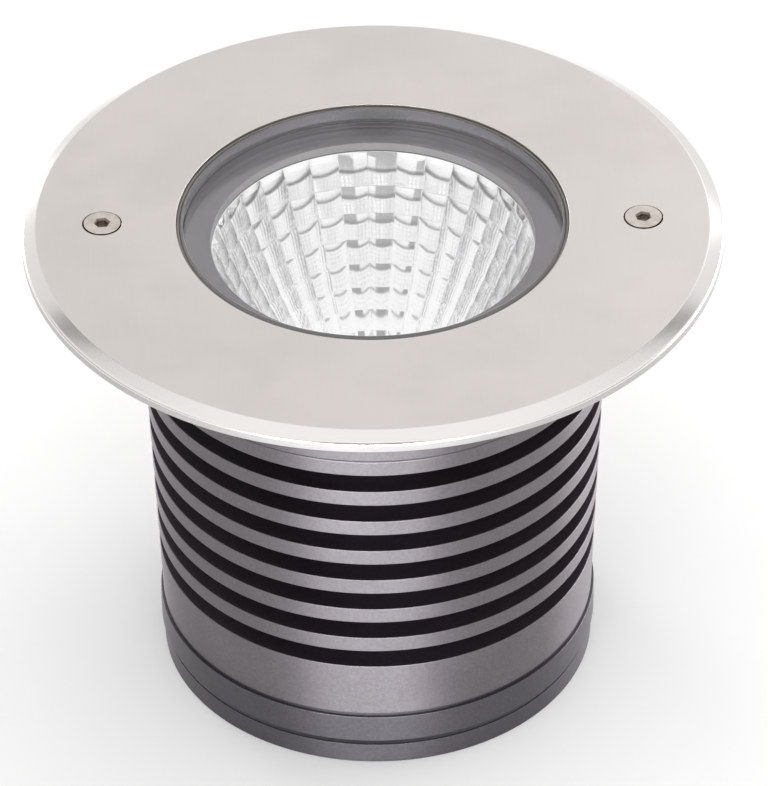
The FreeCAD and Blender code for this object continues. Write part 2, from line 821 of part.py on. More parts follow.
# ---- assembly -------------------------------------------------------------------------------


def make_parts():
    spigot_seal = "spigotDiameter / 2 - sealGrooveDepth + sealSection / 2"
    cap_seal = "chamberDiameter / 2 - slideClearance - sealGrooveDepth + sealSection / 2"
    parts = [
        make_face_plate(), make_glass(), make_upper_gasket(), make_lower_gasket(), make_collar(),
        make_trim_ring(), make_reflector(), make_led_holder(), make_leads(), make_housing(),
        seal_ring("collar_seal_ring", spigot_seal, "collarSeam + collarSealHeight + sealGrooveWidth / 2"),
        seal_ring("base_seal_ring", cap_seal, "baseSeam + capSealHeight + sealGrooveWidth / 2"),
        make_base_cap(),
        screws_on_circle("face_plate_screws", plate_screw, 2, "screwCircle", 0.0),
        screws_on_circle("holder_screws", cap_screw, 2, "holderScrewSpacing", 90.0,
                         "reflectorThroat", 3.0, 8.0, False, 2.5),
        screws_on_circle("driver_screws", cap_screw, 2, "driverScrewSpacing", 0.0,
                         "webTop - webThickness - driverEarThickness", 3.0, 7.0, True, 2.5),
        screws_on_circle("base_screws", cap_screw, 4, "baseScrewCircle", 45.0,
                         "baseScrewPocketDepth", 4.0, 18.0, True, 3.0),
    ]
    return parts + make_light_source() + make_driver() + make_gland()


def check(parts):
    for item in doc.Objects:
        if "Invalid" in item.State or "Error" in item.State:
            raise RuntimeError("%s failed: %s" % (item.Name, item.State))
    for part in parts:
        if part.Shape.isNull() or not part.Shape.isValid() or not part.Shape.Solids:
            raise RuntimeError("%s has no sound solid" % part.Label)


def write(parts):
    os.makedirs("parts", exist_ok=True)
    for part in parts:
        part.Shape.exportStep("parts/%s.step" % part.Label)
        print("%-20s solids %d  volume %9.1f" % (part.Label, len(part.Shape.Solids), part.Shape.Volume))


fill_sheet()
all_parts = make_parts()
doc.recompute()
check(all_parts)
write(all_parts)
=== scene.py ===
import math

import bmesh
import bpy
from mathutils import Matrix, Vector


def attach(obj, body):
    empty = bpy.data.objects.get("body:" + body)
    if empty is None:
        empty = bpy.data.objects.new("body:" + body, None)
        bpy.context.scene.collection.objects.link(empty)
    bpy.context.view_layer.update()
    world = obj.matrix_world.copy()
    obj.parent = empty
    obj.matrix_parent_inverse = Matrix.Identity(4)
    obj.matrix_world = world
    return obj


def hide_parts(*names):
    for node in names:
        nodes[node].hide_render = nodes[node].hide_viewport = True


# In-ground well light. Sizes in the dictionaries are in millimetres, +Z up, the base's centre at the origin.

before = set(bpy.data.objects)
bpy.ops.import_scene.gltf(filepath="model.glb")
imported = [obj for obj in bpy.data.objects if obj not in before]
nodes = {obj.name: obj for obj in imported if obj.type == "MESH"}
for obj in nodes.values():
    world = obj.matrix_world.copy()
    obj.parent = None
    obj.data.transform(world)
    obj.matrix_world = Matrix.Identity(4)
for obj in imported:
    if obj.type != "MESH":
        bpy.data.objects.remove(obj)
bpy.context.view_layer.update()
mm = 0.001
print("frame loaded:", len(nodes), "CAD nodes")


# Node trees: small helpers

class Flow:
    # a value in a node tree, so that formulas can be written with + - * /
    def __init__(self, tree, socket):
        self.tree = tree
        self.socket = socket

    def math(self, operation, *others):
        node = self.tree.nodes.new("ShaderNodeMath")
        node.operation = operation
        for socket, value in zip(node.inputs, (self,) + others):
            plug(self.tree, socket, value)
        return Flow(self.tree, node.outputs[0])

    def __add__(self, other):
        return self.math("ADD", other)

    def __sub__(self, other):
        return self.math("SUBTRACT", other)

    def __mul__(self, other):
        return self.math("MULTIPLY", other)

    def __truediv__(self, other):
        return self.math("DIVIDE", other)

    def band(self, low, high, smooth=True):
        # 0 below low, 1 above high
        node = self.tree.nodes.new("ShaderNodeMapRange")
        node.interpolation_type = "SMOOTHSTEP" if smooth else "LINEAR"
        node.clamp = True
        for key, value in (("Value", self), ("From Min", low), ("From Max", high)):
            plug(self.tree, node.inputs[key], value)
        return Flow(self.tree, node.outputs[0])


def plug(tree, socket, value):
    if isinstance(value, Flow):
        value = value.socket
    if isinstance(value, bpy.types.NodeSocket):
        tree.links.new(value, socket)
    else:
        socket.default_value = value


def add(tree, kind, inputs=None, **settings):
    node = tree.nodes.new(kind)
    for key, value in settings.items():
        setattr(node, key, value)
    for key, value in (inputs or {}).items():
        plug(tree, node.inputs[key], value)
    return node


def startGeometry(name, counts, sizes):
    # the tree's named inputs: whole numbers, then sizes and angles, then the finish
    tree = bpy.data.node_groups.new(name, "GeometryNodeTree")
    inputs = [("Geometry", "Geometry")] + [(label, "Int") for label in counts]
    inputs += [(label, "Float") for label in sizes] + [("Finish", "Material")]
    for label, kind in inputs:
        tree.interface.new_socket(label, in_out="INPUT", socket_type="NodeSocket" + kind)
    tree.interface.new_socket("Geometry", in_out="OUTPUT", socket_type="NodeSocketGeometry")
    source = tree.nodes.new("NodeGroupInput")
    given = {socket.name: Flow(tree, socket) for socket in source.outputs if socket.name}
    return tree, given


def endGeometry(tree, geometry, finish):
    realized = add(tree, "GeometryNodeRealizeInstances", {"Geometry": geometry})
    painted = add(tree, "GeometryNodeSetMaterial", {"Geometry": realized.outputs[0], "Material": finish})
    result = tree.nodes.new("NodeGroupOutput")
    tree.links.new(painted.outputs[0], result.inputs[0])
    return tree


def bake(piece, modifier):
    # keeps the modifier's result as a plain mesh
    bpy.context.view_layer.update()
    mesh = bpy.data.meshes.new_from_object(piece.evaluated_get(bpy.context.evaluated_depsgraph_get()))
    piece.modifiers.remove(modifier)
    piece.data = mesh


def runGeometry(piece, tree, values):
    modifier = piece.modifiers.new("build", "NODES")
    modifier.node_group = tree
    for item in tree.interface.items_tree:
        if item.in_out == "INPUT" and item.name in values:
            modifier[item.identifier] = values[item.name]
    bake(piece, modifier)


# Materials

def startMaterial(name):
    material = bpy.data.materials.new(name)
    material.use_nodes = True
    tree = material.node_tree
    tree.nodes.clear()
    place = add(tree, "ShaderNodeTexCoord").outputs["Object"]
    return material, tree, place


def noise(tree, place, scale, detail=2.0, roughness=0.5, stretch=None):
    if stretch:
        place = add(tree, "ShaderNodeMapping", {"Vector": place, "Scale": stretch}).outputs[0]
    node = add(tree, "ShaderNodeTexNoise", {
        "Vector": place, "Scale": scale, "Detail": detail, "Roughness": roughness,
    })
    return Flow(tree, node.outputs[0])


def blendColours(tree, share, first, second):
    node = add(tree, "ShaderNodeMix", {"Factor": share}, data_type="RGBA")
    plug(tree, node.inputs[6], first)
    plug(tree, node.inputs[7], second)
    return node.outputs[2]


def colour(values):
    return (values[0], values[1], values[2], 1.0)


def bump(tree, height, strength, depth, normal=None):
    node = add(tree, "ShaderNodeBump", {"Height": height, "Strength": strength, "Distance": depth * mm})
    if normal:
        tree.links.new(normal, node.inputs["Normal"])
    return node.outputs[0]


def fromAxis(tree, place):
    # distance from the light's axis and height, in millimetres
    parts = add(tree, "ShaderNodeSeparateXYZ", {"Vector": place})
    x, y, z = (Flow(tree, socket) for socket in parts.outputs)
    reach = (x * x + y * y).math("SQRT") / mm
    return reach, z / mm


def endMaterial(material, tree, inputs):
    shader = add(tree, "ShaderNodeBsdfPrincipled", inputs)
    result = tree.nodes.new("ShaderNodeOutputMaterial")
    tree.links.new(shader.outputs[0], result.inputs["Surface"])
    return material


plateFinish = {
    "flat": (0.676, 0.634, 0.614), "cloud": (0.636, 0.596, 0.582), "bevel": (0.765, 0.738, 0.728),
    "rim": (0.455, 0.440, 0.439), "rimTop": 110.15, "rimRoughness": 0.44, "greenish": (0.662, 0.630, 0.600),
    "bevelStart": 71.9, "roughness": 0.36, "bevelRoughness": 0.17, "grain": 0.12,
}


def makePlateSteel():
    p = plateFinish
    material, tree, place = startMaterial("satinPlateSteel")
    reach, height = fromAxis(tree, place)
    # soft clouds and brush streaks on the flat, turned rings on the bevel, a duller rim below it that is also
    # painted darker as shade on its upright face
    clouds = noise(tree, place, 38.0, 3.0, 0.55)
    patches = noise(tree, place, 95.0)
    streaks = noise(tree, place, 1.0, 3.0, 0.6, stretch=(2600.0, 90.0, 400.0))
    grain = noise(tree, place, 5200.0, 2.0, 0.6)
    profile = add(tree, "ShaderNodeCombineXYZ", {"X": reach, "Y": height}).outputs[0]
    rings = noise(tree, profile, 9.0, 2.0, 0.7)
    onBevel = reach.band(p["bevelStart"] - 0.05, p["bevelStart"] + 0.15)
    shade = (clouds * 0.75 + patches * 0.25).band(0.36, 0.64)
    flat = blendColours(tree, shade, colour(p["cloud"]), colour(p["flat"]))
    tint = noise(tree, place, 22.0, stretch=(1.0, 1.3, 1.0))
    flat = blendColours(tree, tint.band(0.42, 0.60) * 0.55, flat, colour(p["greenish"]))
    streaked = blendColours(tree, streaks.band(0.3, 0.8) * 0.09, flat, colour(p["bevel"]))
    base = blendColours(tree, onBevel, streaked, colour(p["bevel"]))
    # the rim's upright face is painted darker, as shade
    onRim = onBevel * (height.band(p["rimTop"], p["rimTop"] + 0.25) * -1.0 + 1.0)
    base = blendColours(tree, onRim, base, colour(p["rim"]))
    rough = (grain - 0.5) * 0.16 + (clouds - 0.5) * 0.10 + p["roughness"]
    rough = rough - onBevel * (p["roughness"] - p["bevelRoughness"])
    rough = rough + onRim * (p["rimRoughness"] - p["bevelRoughness"])
    texture = bump(tree, grain, p["grain"], 0.02)
    texture = bump(tree, streaks * 0.35 + rings * onBevel, 0.10, 0.02, texture)
    return endMaterial(material, tree, {
        "Base Color": base, "Metallic": 1.0, "Roughness": rough, "Normal": texture,
    })


screwFinish = {"colour": (0.640, 0.580, 0.545), "worn": (0.540, 0.485, 0.455), "roughness": 0.24}
# painted shade for the walls and lead-ins of the screws' hex sockets
socketShade = {"colour": (0.27, 0.22, 0.195), "worn": (0.20, 0.16, 0.14), "roughness": 0.5}
# painted shade for the countersink cones round the plate's screw heads
countersinkShade = {"colour": (0.085, 0.070, 0.060), "worn": (0.045, 0.038, 0.034), "roughness": 0.6}


def makeScrewSteel(name, settings):
    material, tree, place = startMaterial(name)
    clouds = noise(tree, place, 420.0)
    grain = noise(tree, place, 6500.0, 2.0, 0.6)
    base = blendColours(tree, clouds.band(0.35, 0.7), colour(settings["colour"]), colour(settings["worn"]))
    return endMaterial(material, tree, {
        "Base Color": base, "Metallic": 1.0,
        "Roughness": (grain - 0.5) * 0.14 + settings["roughness"],
        "Normal": bump(tree, grain, 0.1, 0.02),
    })


bodyFinish = {"light": (0.207, 0.190, 0.205), "dark": (0.150, 0.137, 0.148), "roughness": 0.45,
              "speckle": 0.22, "turned": 0.8}
# a painted reflection of the face plate, pale and beige, for the collar's flange under it
flangeReflection = {"light": (0.600, 0.570, 0.520), "dark": (0.520, 0.490, 0.445), "roughness": 0.38,
                "speckle": 0.12, "turned": 0.6}
grooveFinish = {"light": (0.118, 0.098, 0.119), "dark": (0.082, 0.068, 0.083), "roughness": 0.50,
                "speckle": 0.25, "turned": 0.0}
capFinish = {"light": (0.127, 0.118, 0.132), "dark": (0.093, 0.086, 0.097), "roughness": 0.38,
             "speckle": 0.16, "turned": 0.7}
# painted shade for the downward chamfer under the base cap's step
capChamferShade = {"light": (0.066, 0.060, 0.067), "dark": (0.050, 0.045, 0.051), "roughness": 0.45,
              "speckle": 0.12, "turned": 0.3}


def makeBlasted(name, settings):
    # bead-blasted anodised aluminium: fine speckle in colour, gloss and surface
    material, tree, place = startMaterial(name)
    speckle = noise(tree, place, 1500.0, 3.0, 0.65)
    fine = noise(tree, place, 4200.0, 2.0, 0.6)
    clouds = noise(tree, place, 60.0)
    mixed = (speckle * 0.45 + fine * 0.3 + clouds * 0.25).band(0.33, 0.67)
    base = blendColours(tree, mixed, colour(settings["dark"]), colour(settings["light"]))
    texture = bump(tree, speckle, settings["speckle"], 0.04)
    texture = bump(tree, fine, settings["speckle"] * 0.6, 0.02, texture)
    # the lathe's fine lines spread a highlight up and down
    around = add(tree, "ShaderNodeTangent", direction_type="RADIAL", axis="Z")
    return endMaterial(material, tree, {
        "Base Color": base, "Metallic": 1.0,
        "Roughness": (fine - 0.5) * 0.16 + settings["roughness"],
        "Anisotropic": settings["turned"], "Anisotropic Rotation": 0.25,
        "Normal": texture, "Tangent": around.outputs[0],
    })


rubberFinish = {"light": (0.040, 0.040, 0.042), "dark": (0.020, 0.020, 0.021), "roughness": 0.62}
trimFinish = {"light": (0.204, 0.190, 0.204), "dark": (0.172, 0.159, 0.171), "roughness": 0.22}
lipFinish = {"light": (0.400, 0.382, 0.400), "dark": (0.360, 0.344, 0.360), "roughness": 0.36}
# painted light for the anti-glare ring's upright inner wall, which sits in shade
innerWallLight = {"light": (0.64, 0.62, 0.64), "dark": (0.58, 0.56, 0.58), "roughness": 0.5}
sealFinish = {"light": (0.205, 0.188, 0.176), "dark": (0.150, 0.137, 0.128), "roughness": 0.5}


def makeMatt(name, settings, scale=900.0, depth=0.02, metallic=0.0):
    material, tree, place = startMaterial(name)
    soft = noise(tree, place, scale * 0.1, 3.0)
    fine = noise(tree, place, scale * 3.0, 2.0, 0.6)
    base = blendColours(tree, (soft * 0.5 + fine * 0.5).band(0.35, 0.65), colour(settings["dark"]),
                        colour(settings["light"]))
    return endMaterial(material, tree, {
        "Base Color": base, "Metallic": metallic,
        "Roughness": (fine - 0.5) * 0.14 + settings["roughness"],
        "Normal": bump(tree, fine, 0.2, depth),
    })


glassFinish = {
    "tint": (0.985, 0.992, 0.990), "shadow": (0.92, 0.93, 0.93), "haze": 0.012,
    "ground": (0.250, 0.240, 0.245), "groundPale": (0.310, 0.300, 0.305), "groundRoughness": 0.55,
    "sideLow": (0.86, 0.85, 0.90), "sideShadedTop": (0.46, 0.455, 0.51), "sideRoughness": 0.28,
    "fadeLow": 104.8, "fadeTop": 111.0,
}


def makeGlass():
    p = glassFinish
    material, tree, place = startMaterial("clearGlass")
    haze = noise(tree, place, 55.0)
    glass = add(tree, "ShaderNodeBsdfPrincipled", {
        "Base Color": colour(p["tint"]), "Transmission Weight": 1.0, "IOR": 1.5,
        "Roughness": haze.band(0.45, 0.9) * p["haze"],
    })
    # light passes straight through, so that the bowl below isn't in the glass's shadow
    clear = add(tree, "ShaderNodeBsdfTransparent", {"Color": colour(p["shadow"])})
    path = add(tree, "ShaderNodeLightPath")
    both = add(tree, "ShaderNodeMixShader", {
        0: path.outputs["Is Shadow Ray"], 1: glass.outputs[0], 2: clear.outputs[0],
    })
    result = tree.nodes.new("ShaderNodeOutputMaterial")
    tree.links.new(both.outputs[0], result.inputs["Surface"])
    return material


def makeGroundGlass():
    material, tree, place = startMaterial("groundGlass")
    p = glassFinish
    grain = noise(tree, place, 5200.0, 2.0, 0.6)
    base = blendColours(tree, grain.band(0.3, 0.7), colour(p["ground"]), colour(p["groundPale"]))
    return endMaterial(material, tree, {
        "Base Color": base, "Transmission Weight": 0.45, "IOR": 1.5,
        "Roughness": (grain - 0.5) * 0.1 + p["groundRoughness"],
        "Normal": bump(tree, grain, 0.3, 0.02),
    })


def makeGlassSide():
    # total reflection inside the glass makes its side a dim mirror, and painted shade darkens it towards the
    # top
    p = glassFinish
    material, tree, place = startMaterial("glassSide")
    grain = noise(tree, place, 2600.0, 2.0, 0.6)
    reach, height = fromAxis(tree, place)
    # painted shade: darker towards the top, lighter low down
    share = height.band(p["fadeLow"], p["fadeTop"], smooth=False)
    base = blendColours(tree, share, colour(p["sideLow"]), colour(p["sideShadedTop"]))
    return endMaterial(material, tree, {
        "Base Color": base, "Metallic": 1.0, "Roughness": (grain - 0.5) * 0.04 + p["sideRoughness"],
    })


reflectorFinish = {"colour": (0.985, 0.980, 0.990), "haze": (0.968, 0.965, 0.975), "roughness": 0.080,
                   "ripple": 0.08}


def makeReflectorMetal():
    p = reflectorFinish
    material, tree, place = startMaterial("metallisedReflector")
    ripple = noise(tree, place, 1700.0, 2.0, 0.6)
    haze = noise(tree, place, 70.0)
    base = blendColours(tree, haze.band(0.4, 0.7), colour(p["colour"]), colour(p["haze"]))
    return endMaterial(material, tree, {
        "Base Color": base, "Metallic": 1.0,
        "Roughness": haze * 0.04 + p["roughness"],
        "Normal": bump(tree, ripple, p["ripple"], 0.02),
    })


phosphorFinish = {"deep": (0.80, 0.56, 0.10), "pale": (0.86, 0.66, 0.18), "roughness": 0.35, "coat": 0.4}


def makePhosphor():
    p = phosphorFinish
    material, tree, place = startMaterial("phosphorSilicone")
    grain = noise(tree, place, 3500.0, 3.0, 0.7)
    base = blendColours(tree, grain.band(0.3, 0.7), colour(p["deep"]), colour(p["pale"]))
    return endMaterial(material, tree, {
        "Base Color": base, "Roughness": p["roughness"], "Coat Weight": p["coat"], "Coat Roughness": 0.15,
        "Normal": bump(tree, grain, 0.3, 0.03),
    })


paints = {
    "white": {"light": (0.80, 0.80, 0.78), "dark": (0.74, 0.74, 0.72), "roughness": 0.45},
    "ceramic": {"light": (0.83, 0.83, 0.81), "dark": (0.78, 0.78, 0.76), "roughness": 0.35},
    "lead": {"light": (0.52, 0.05, 0.04), "dark": (0.44, 0.04, 0.03), "roughness": 0.5},
    "driver": {"light": (0.040, 0.040, 0.042), "dark": (0.025, 0.025, 0.026), "roughness": 0.5},
    "pad": {"light": (0.36, 0.37, 0.39), "dark": (0.31, 0.32, 0.34), "roughness": 0.7},
    "nickel": {"light": (0.62, 0.60, 0.55), "dark": (0.54, 0.52, 0.47), "roughness": 0.28},
}

plateSteel = makePlateSteel()
screwSteel = makeScrewSteel("plainScrewSteel", screwFinish)
socketShadeSteel = makeScrewSteel("paintedShadeSocketSteel", socketShade)
countersinkShadeSteel = makeScrewSteel("shadedCountersinkSteel", countersinkShade)
bodyMetal = makeBlasted("blastedBodyAluminium", bodyFinish)
flangeReflectionMetal = makeBlasted("paintedReflectionFlangeMetal", flangeReflection)
grooveMetal = makeBlasted("darkerGrooveAluminium", grooveFinish)
capChamferShadeMetal = makeBlasted("shadedCapAluminium", capChamferShade)
capMetal = makeBlasted("darkCapAluminium", capFinish)
sealRubber = makeMatt("blackSealRubber", rubberFinish)
greySilicone = makeMatt("greySealSilicone", sealFinish)
innerWallLightPaint = makeMatt("paintedLightInnerWall", innerWallLight, scale=1500.0, depth=0.01, metallic=1.0)
trimPaint = makeMatt("greyTrimAluminium", trimFinish, scale=1500.0, depth=0.003, metallic=1.0)
lipPaint = makeMatt("paleLipAluminium", lipFinish, scale=1500.0, depth=0.01, metallic=1.0)
clearGlass = makeGlass()
groundGlass = makeGroundGlass()
glassSide = makeGlassSide()
reflectorMetal = makeReflectorMetal()
phosphorGel = makePhosphor()
whitePlastic = makeMatt("whiteMoulded", paints["white"])
whiteCeramic = makeMatt("whiteCeramic", paints["ceramic"])
leadSilicone = makeMatt("redLeadSilicone", paints["lead"])
driverPlastic = makeMatt("blackDriverPlastic", paints["driver"])
padSilicone = makeMatt("greyThermalPad", paints["pad"])
nickelPlate = makeMatt("nickelPlatedBrass", paints["nickel"], metallic=1.0)
print("materials made:", len(bpy.data.materials))


# Meshes

def rounded(corners):
    # the outline's points, its corners being (distance from the axis, height, rounding)
    points = []
    for i, (r, z, rounding) in enumerate(corners):
        here = Vector((r, z))
        if rounding <= 0:
            points.append(here)
            continue
        back = (Vector(corners[i - 1][:2]) - here).normalized()
        on = (Vector(corners[(i + 1) % len(corners)][:2]) - here).normalized()
        angle = back.angle(on)
        reach = rounding / math.tan(angle / 2)
        centre = here + (back + on).normalized() * rounding / math.sin(angle / 2)
        first = here + back * reach - centre
        last = here + on * reach - centre
        turn = math.pi - angle
        if first.x * last.y - first.y * last.x < 0:
            turn = -turn
        steps = max(2, math.ceil(abs(turn) / math.radians(18)))
        for k in range(steps + 1):
            c, s = math.cos(turn * k / steps), math.sin(turn * k / steps)
            points.append(centre + Vector((first.x * c - first.y * s, first.x * s + first.y * c)))
    return points


def ringAt(mesh, r, z, turns):
    return [mesh.verts.new((r * mm * math.cos(a), r * mm * math.sin(a), z * mm)) for a in turns]


def evenTurns(count):
    return [2 * math.pi * k / count for k in range(count)]


def bridge(mesh, low, high):
    # the faces between two rings; at a pole a ring is one vertex repeated
    count = len(low)
    for k in range(count):
        corners = []
        for vertex in (low[k], low[(k + 1) % count], high[(k + 1) % count], high[k]):
            if vertex not in corners:
                corners.append(vertex)
        if len(corners) > 2:
            mesh.faces.new(corners)


def spin(points, segments):
    # a solid of revolution from a closed outline in millimetres
    mesh = bmesh.new()
    rings = []
    for r, z in points:
        if r < 1e-4:
            rings.append([mesh.verts.new((0, 0, z * mm))] * segments)
        else:
            rings.append(ringAt(mesh, r, z, evenTurns(segments)))
    for low, high in zip(rings, rings[1:] + rings[:1]):
        bridge(mesh, low, high)
    return mesh


def prism(sides, flats, low, high, topFlats=None):
    # a straight or tapered prism with its size given across flats
    mesh = bmesh.new()
    toCorner = 0.5 / math.cos(math.pi / sides)
    bottom = ringAt(mesh, flats * toCorner, low, evenTurns(sides))
    top = ringAt(mesh, (topFlats or flats) * toCorner, high, evenTurns(sides))
    mesh.faces.new(bottom)
    mesh.faces.new(top)
    bridge(mesh, bottom, top)
    return mesh


def shifted(mesh, x, y=0.0):
    bmesh.ops.translate(mesh, verts=mesh.verts, vec=Vector((x, y, 0.0)) * mm)
    return mesh


def newPiece(name, mesh, *materials):
    bmesh.ops.recalc_face_normals(mesh, faces=mesh.faces)
    data = bpy.data.meshes.new(name)
    mesh.to_mesh(data)
    mesh.free()
    piece = bpy.data.objects.new(name, data)
    bpy.context.scene.collection.objects.link(piece)
    for material in materials:
        data.materials.append(material)
    return piece


def carve(piece, cutter, operation="DIFFERENCE"):
    # cuts with another mesh, or joins it, or keeps what they share
    tool = newPiece("cutter", cutter)
    cut = piece.modifiers.new("cut", "BOOLEAN")
    cut.operation = operation
    cut.solver = "EXACT"
    cut.object = tool
    bake(piece, cut)
    bpy.data.objects.remove(tool)


def settle(piece, sharpAbove=40.0):
    # crisp flats beside soft edges
    piece.data.shade_smooth()
    piece.data.set_sharp_from_angle(angle=math.radians(sharpAbove))
    weighted = piece.modifiers.new("flats", "WEIGHTED_NORMAL")
    weighted.weight = 60
    weighted.keep_sharp = True
    bake(piece, weighted)
    return piece


def paint(piece, choose, circle=0.0, forward=0.0):
    # choose gives each face's slot from its distance to the axis, or to the two screws on a circle,
    # its height and its normal
    for face in piece.data.polygons:
        middle = face.center
        away = math.hypot(abs(middle.x) / mm - circle / 2, middle.y / mm + forward)
        face.material_index = choose(away, middle.z / mm, face.normal)
    return piece


def seat(piece, slot, *replaced):
    # hands a finished piece to the frame
    piece.data.name = piece.name
    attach(piece, "root")
    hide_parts(*replaced)


# What repeats round the axis

def aroundAxis():
    tree, given = startGeometry("aroundAxis", ["Count", "Seed"], [
        "Circle radius", "First angle", "Turn spread",
    ])
    points = add(tree, "GeometryNodePoints", {"Count": given["Count"]})
    index = Flow(tree, add(tree, "GeometryNodeInputIndex").outputs[0])
    angle = index / given["Count"] * (2 * math.pi) + given["First angle"]
    place = add(tree, "ShaderNodeCombineXYZ", {
        "X": given["Circle radius"] * angle.math("COSINE"), "Y": given["Circle radius"] * angle.math("SINE"),
    })
    placed = add(tree, "GeometryNodeSetPosition", {
        "Geometry": points.outputs[0], "Position": place.outputs[0],
    })
    chance = add(tree, "FunctionNodeRandomValue", {"Seed": given["Seed"]}, data_type="FLOAT")
    spread = Flow(tree, chance.outputs[1]) * given["Turn spread"]
    turned = add(tree, "ShaderNodeCombineXYZ", {"Z": angle + spread})
    copies = add(tree, "GeometryNodeInstanceOnPoints", {
        "Points": placed.outputs[0], "Instance": given["Geometry"], "Rotation": turned.outputs[0],
    })
    return endGeometry(tree, copies.outputs[0], given["Finish"])


circleTree = aroundAxis()


def ringOf(piece, count, circle, firstAngle, spread, seed, finish):
    runGeometry(piece, circleTree, {
        "Count": count, "Circle radius": circle / 2 * mm, "First angle": math.radians(firstAngle),
        "Turn spread": math.radians(spread), "Seed": seed, "Finish": finish,
    })


# Face plate and its screws

plate = {
    "radius": 75.0, "top": 112.3, "low": 108.7, "bevel": 3.1, "drop": 1.55, "opening": 42.0,
    "register": 63.4, "registerUp": 0.5, "screwCircle": 115.5, "countersink": 8.6, "forward": 0.34,
    "hole": 5.0, "shoulder": 1.0, "topEdge": 0.9, "lowEdge": 0.12, "burr": 0.15, "segments": 320,
}


def countersinkCutter():
    p = plate
    sink, hole = p["countersink"] / 2, p["hole"] / 2
    below, above = p["low"] - 1, p["top"] + 0.5
    mouth = sink + 0.4
    return spin(rounded([
        (0, below, 0), (hole, below, 0), (hole, p["top"] - (sink - hole), 0), (sink, p["top"], p["lowEdge"]),
        (mouth, p["top"] + 0.1, 0), (mouth, above, 0), (0, above, 0),
    ]), 72)


def makeFacePlate():
    p = plate
    outline = rounded([
        (p["opening"], p["low"] + p["registerUp"], p["burr"]),
        (p["register"], p["low"] + p["registerUp"], 0.0),
        (p["register"], p["low"], p["burr"]),
        (p["radius"], p["low"], p["lowEdge"]),
        (p["radius"], p["top"] - p["drop"], p["shoulder"]),
        (p["radius"] - p["bevel"], p["top"], p["topEdge"]),
        (p["opening"], p["top"], 0.1),
    ])
    piece = newPiece("facePlate", spin(outline, p["segments"]), plateSteel, countersinkShadeSteel)
    for side in (1, -1):
        carve(piece, shifted(countersinkCutter(), side * p["screwCircle"] / 2, -p["forward"]))
    settle(piece)
    # the countersink cones round the screw heads get painted shade
    sink = p["countersink"] / 2 - 0.03
    return paint(piece, lambda away, z, normal: 1 if away < sink and normal.z < 0.98 else 0,
                 p["screwCircle"], p["forward"])


screw = {
    "head": 7.95, "rim": 0.45, "top": 112.26, "thread": 4.0, "threadDepth": 0.28, "tip": 0.4, "length": 9.0,
    "socket": 2.5, "depth": 1.35, "leadIn": 0.4, "leadInWider": 1.05, "socketReach": 1.9,
}


def threadRings(start, stop, radius, depth, crest):
    # the thread, as plain rings from one height to another
    pitch = 0.7 if stop > start else -0.7
    rings = []
    height = start
    while (stop - height) * pitch > 0:
        rings += [(radius - depth, height, 0.05), (radius, height + crest, 0.05)]
        height += pitch
    return rings


def countersunkScrew():
    p = screw
    head, shank, top = p["head"] / 2, p["thread"] / 2, p["top"]
    end = top - p["length"]
    seatLow = top - p["rim"] - (head - shank)
    outline = [(0, end, 0), (shank - p["tip"], end, 0), (shank, end + p["tip"], 0)]
    outline += threadRings(end + 2 * p["tip"], seatLow - 0.9, shank, p["threadDepth"], 0.35)
    outline += [(shank - 0.15, seatLow, 0), (head, top - p["rim"], 0.06), (head, top, 0.16), (0, top, 0)]
    piece = newPiece("facePlateScrews", spin(rounded(outline), 72), screwSteel, socketShadeSteel)
    carve(piece, prism(6, p["socket"], top - p["depth"], top + 0.01))
    carve(piece, prism(6, p["socket"], top - p["leadIn"], top + 0.2, topFlats=p["socket"] + p["leadInWider"]))
    return piece


def makePlateScrews():
    p = screw
    piece = countersunkScrew()
    ringOf(piece, 2, plate["screwCircle"], 0.0, 60.0, 4, screwSteel)
    piece.data.materials.clear()
    for material in (screwSteel, socketShadeSteel):
        piece.data.materials.append(material)
    settle(piece, 30.0)
    # the socket's walls and lead-in get painted shade; its floor stays plain screw steel
    low, high = p["top"] - p["depth"] + 0.02, p["top"] - 0.02
    return paint(piece, lambda away, z, normal: 1 if away < p["socketReach"] and low < z < high else 0,
                 plate["screwCircle"])


seat(makeFacePlate(), "plate_steel", "face_plate")
seat(makePlateScrews(), "screw_steel", "face_plate_screws")
print("face plate and screws made")


# Glass, its seal and the rings below it

glass = {"radius": 41.2, "low": 104.3, "top": 112.2, "edge": 0.6, "segments": 256}
seal = {"inner": 41.3, "outer": 46.2, "low": 104.3, "ledge": 109.2, "lip": 41.95, "lipTop": 111.8}
gasket = {"inner": 41.0, "outer": 46.2, "low": 102.8, "top": 103.3}
trim = {"inner": 34.6, "wall": 1.0, "outer": 46.2, "top": 104.3, "plate": 1.0, "low": 101.0,
        "seat": 40.4, "face": 103.3, "lipTop": 102.85, "under": 102.2}


def makeGlassLens():
    p = glass
    outline = rounded([
        (0, p["low"], 0), (p["radius"], p["low"], 0.3), (p["radius"], p["top"] - p["edge"], 0.1),
        (p["radius"] - p["edge"], p["top"], 0.1), (0, p["top"], 0),
    ])
    piece = newPiece("glassLens", spin(outline, p["segments"]), clearGlass, groundGlass, glassSide)
    settle(piece)

    def choose(r, z, normal):
        if abs(normal.z) > 0.9:
            return 0
        return 2 if abs(normal.z) < 0.3 else 1

    return paint(piece, choose)


def makeSealRing():
    p = seal
    outline = rounded([
        (p["inner"], p["low"], 0.1), (p["outer"], p["low"], 0.3), (p["outer"], p["ledge"], 0.3),
        (p["lip"], p["ledge"], 0.0), (p["lip"], p["lipTop"], 0.2), (p["inner"], p["lipTop"], 0.2),
    ])
    return settle(newPiece("glassSeal", spin(outline, 256), greySilicone))


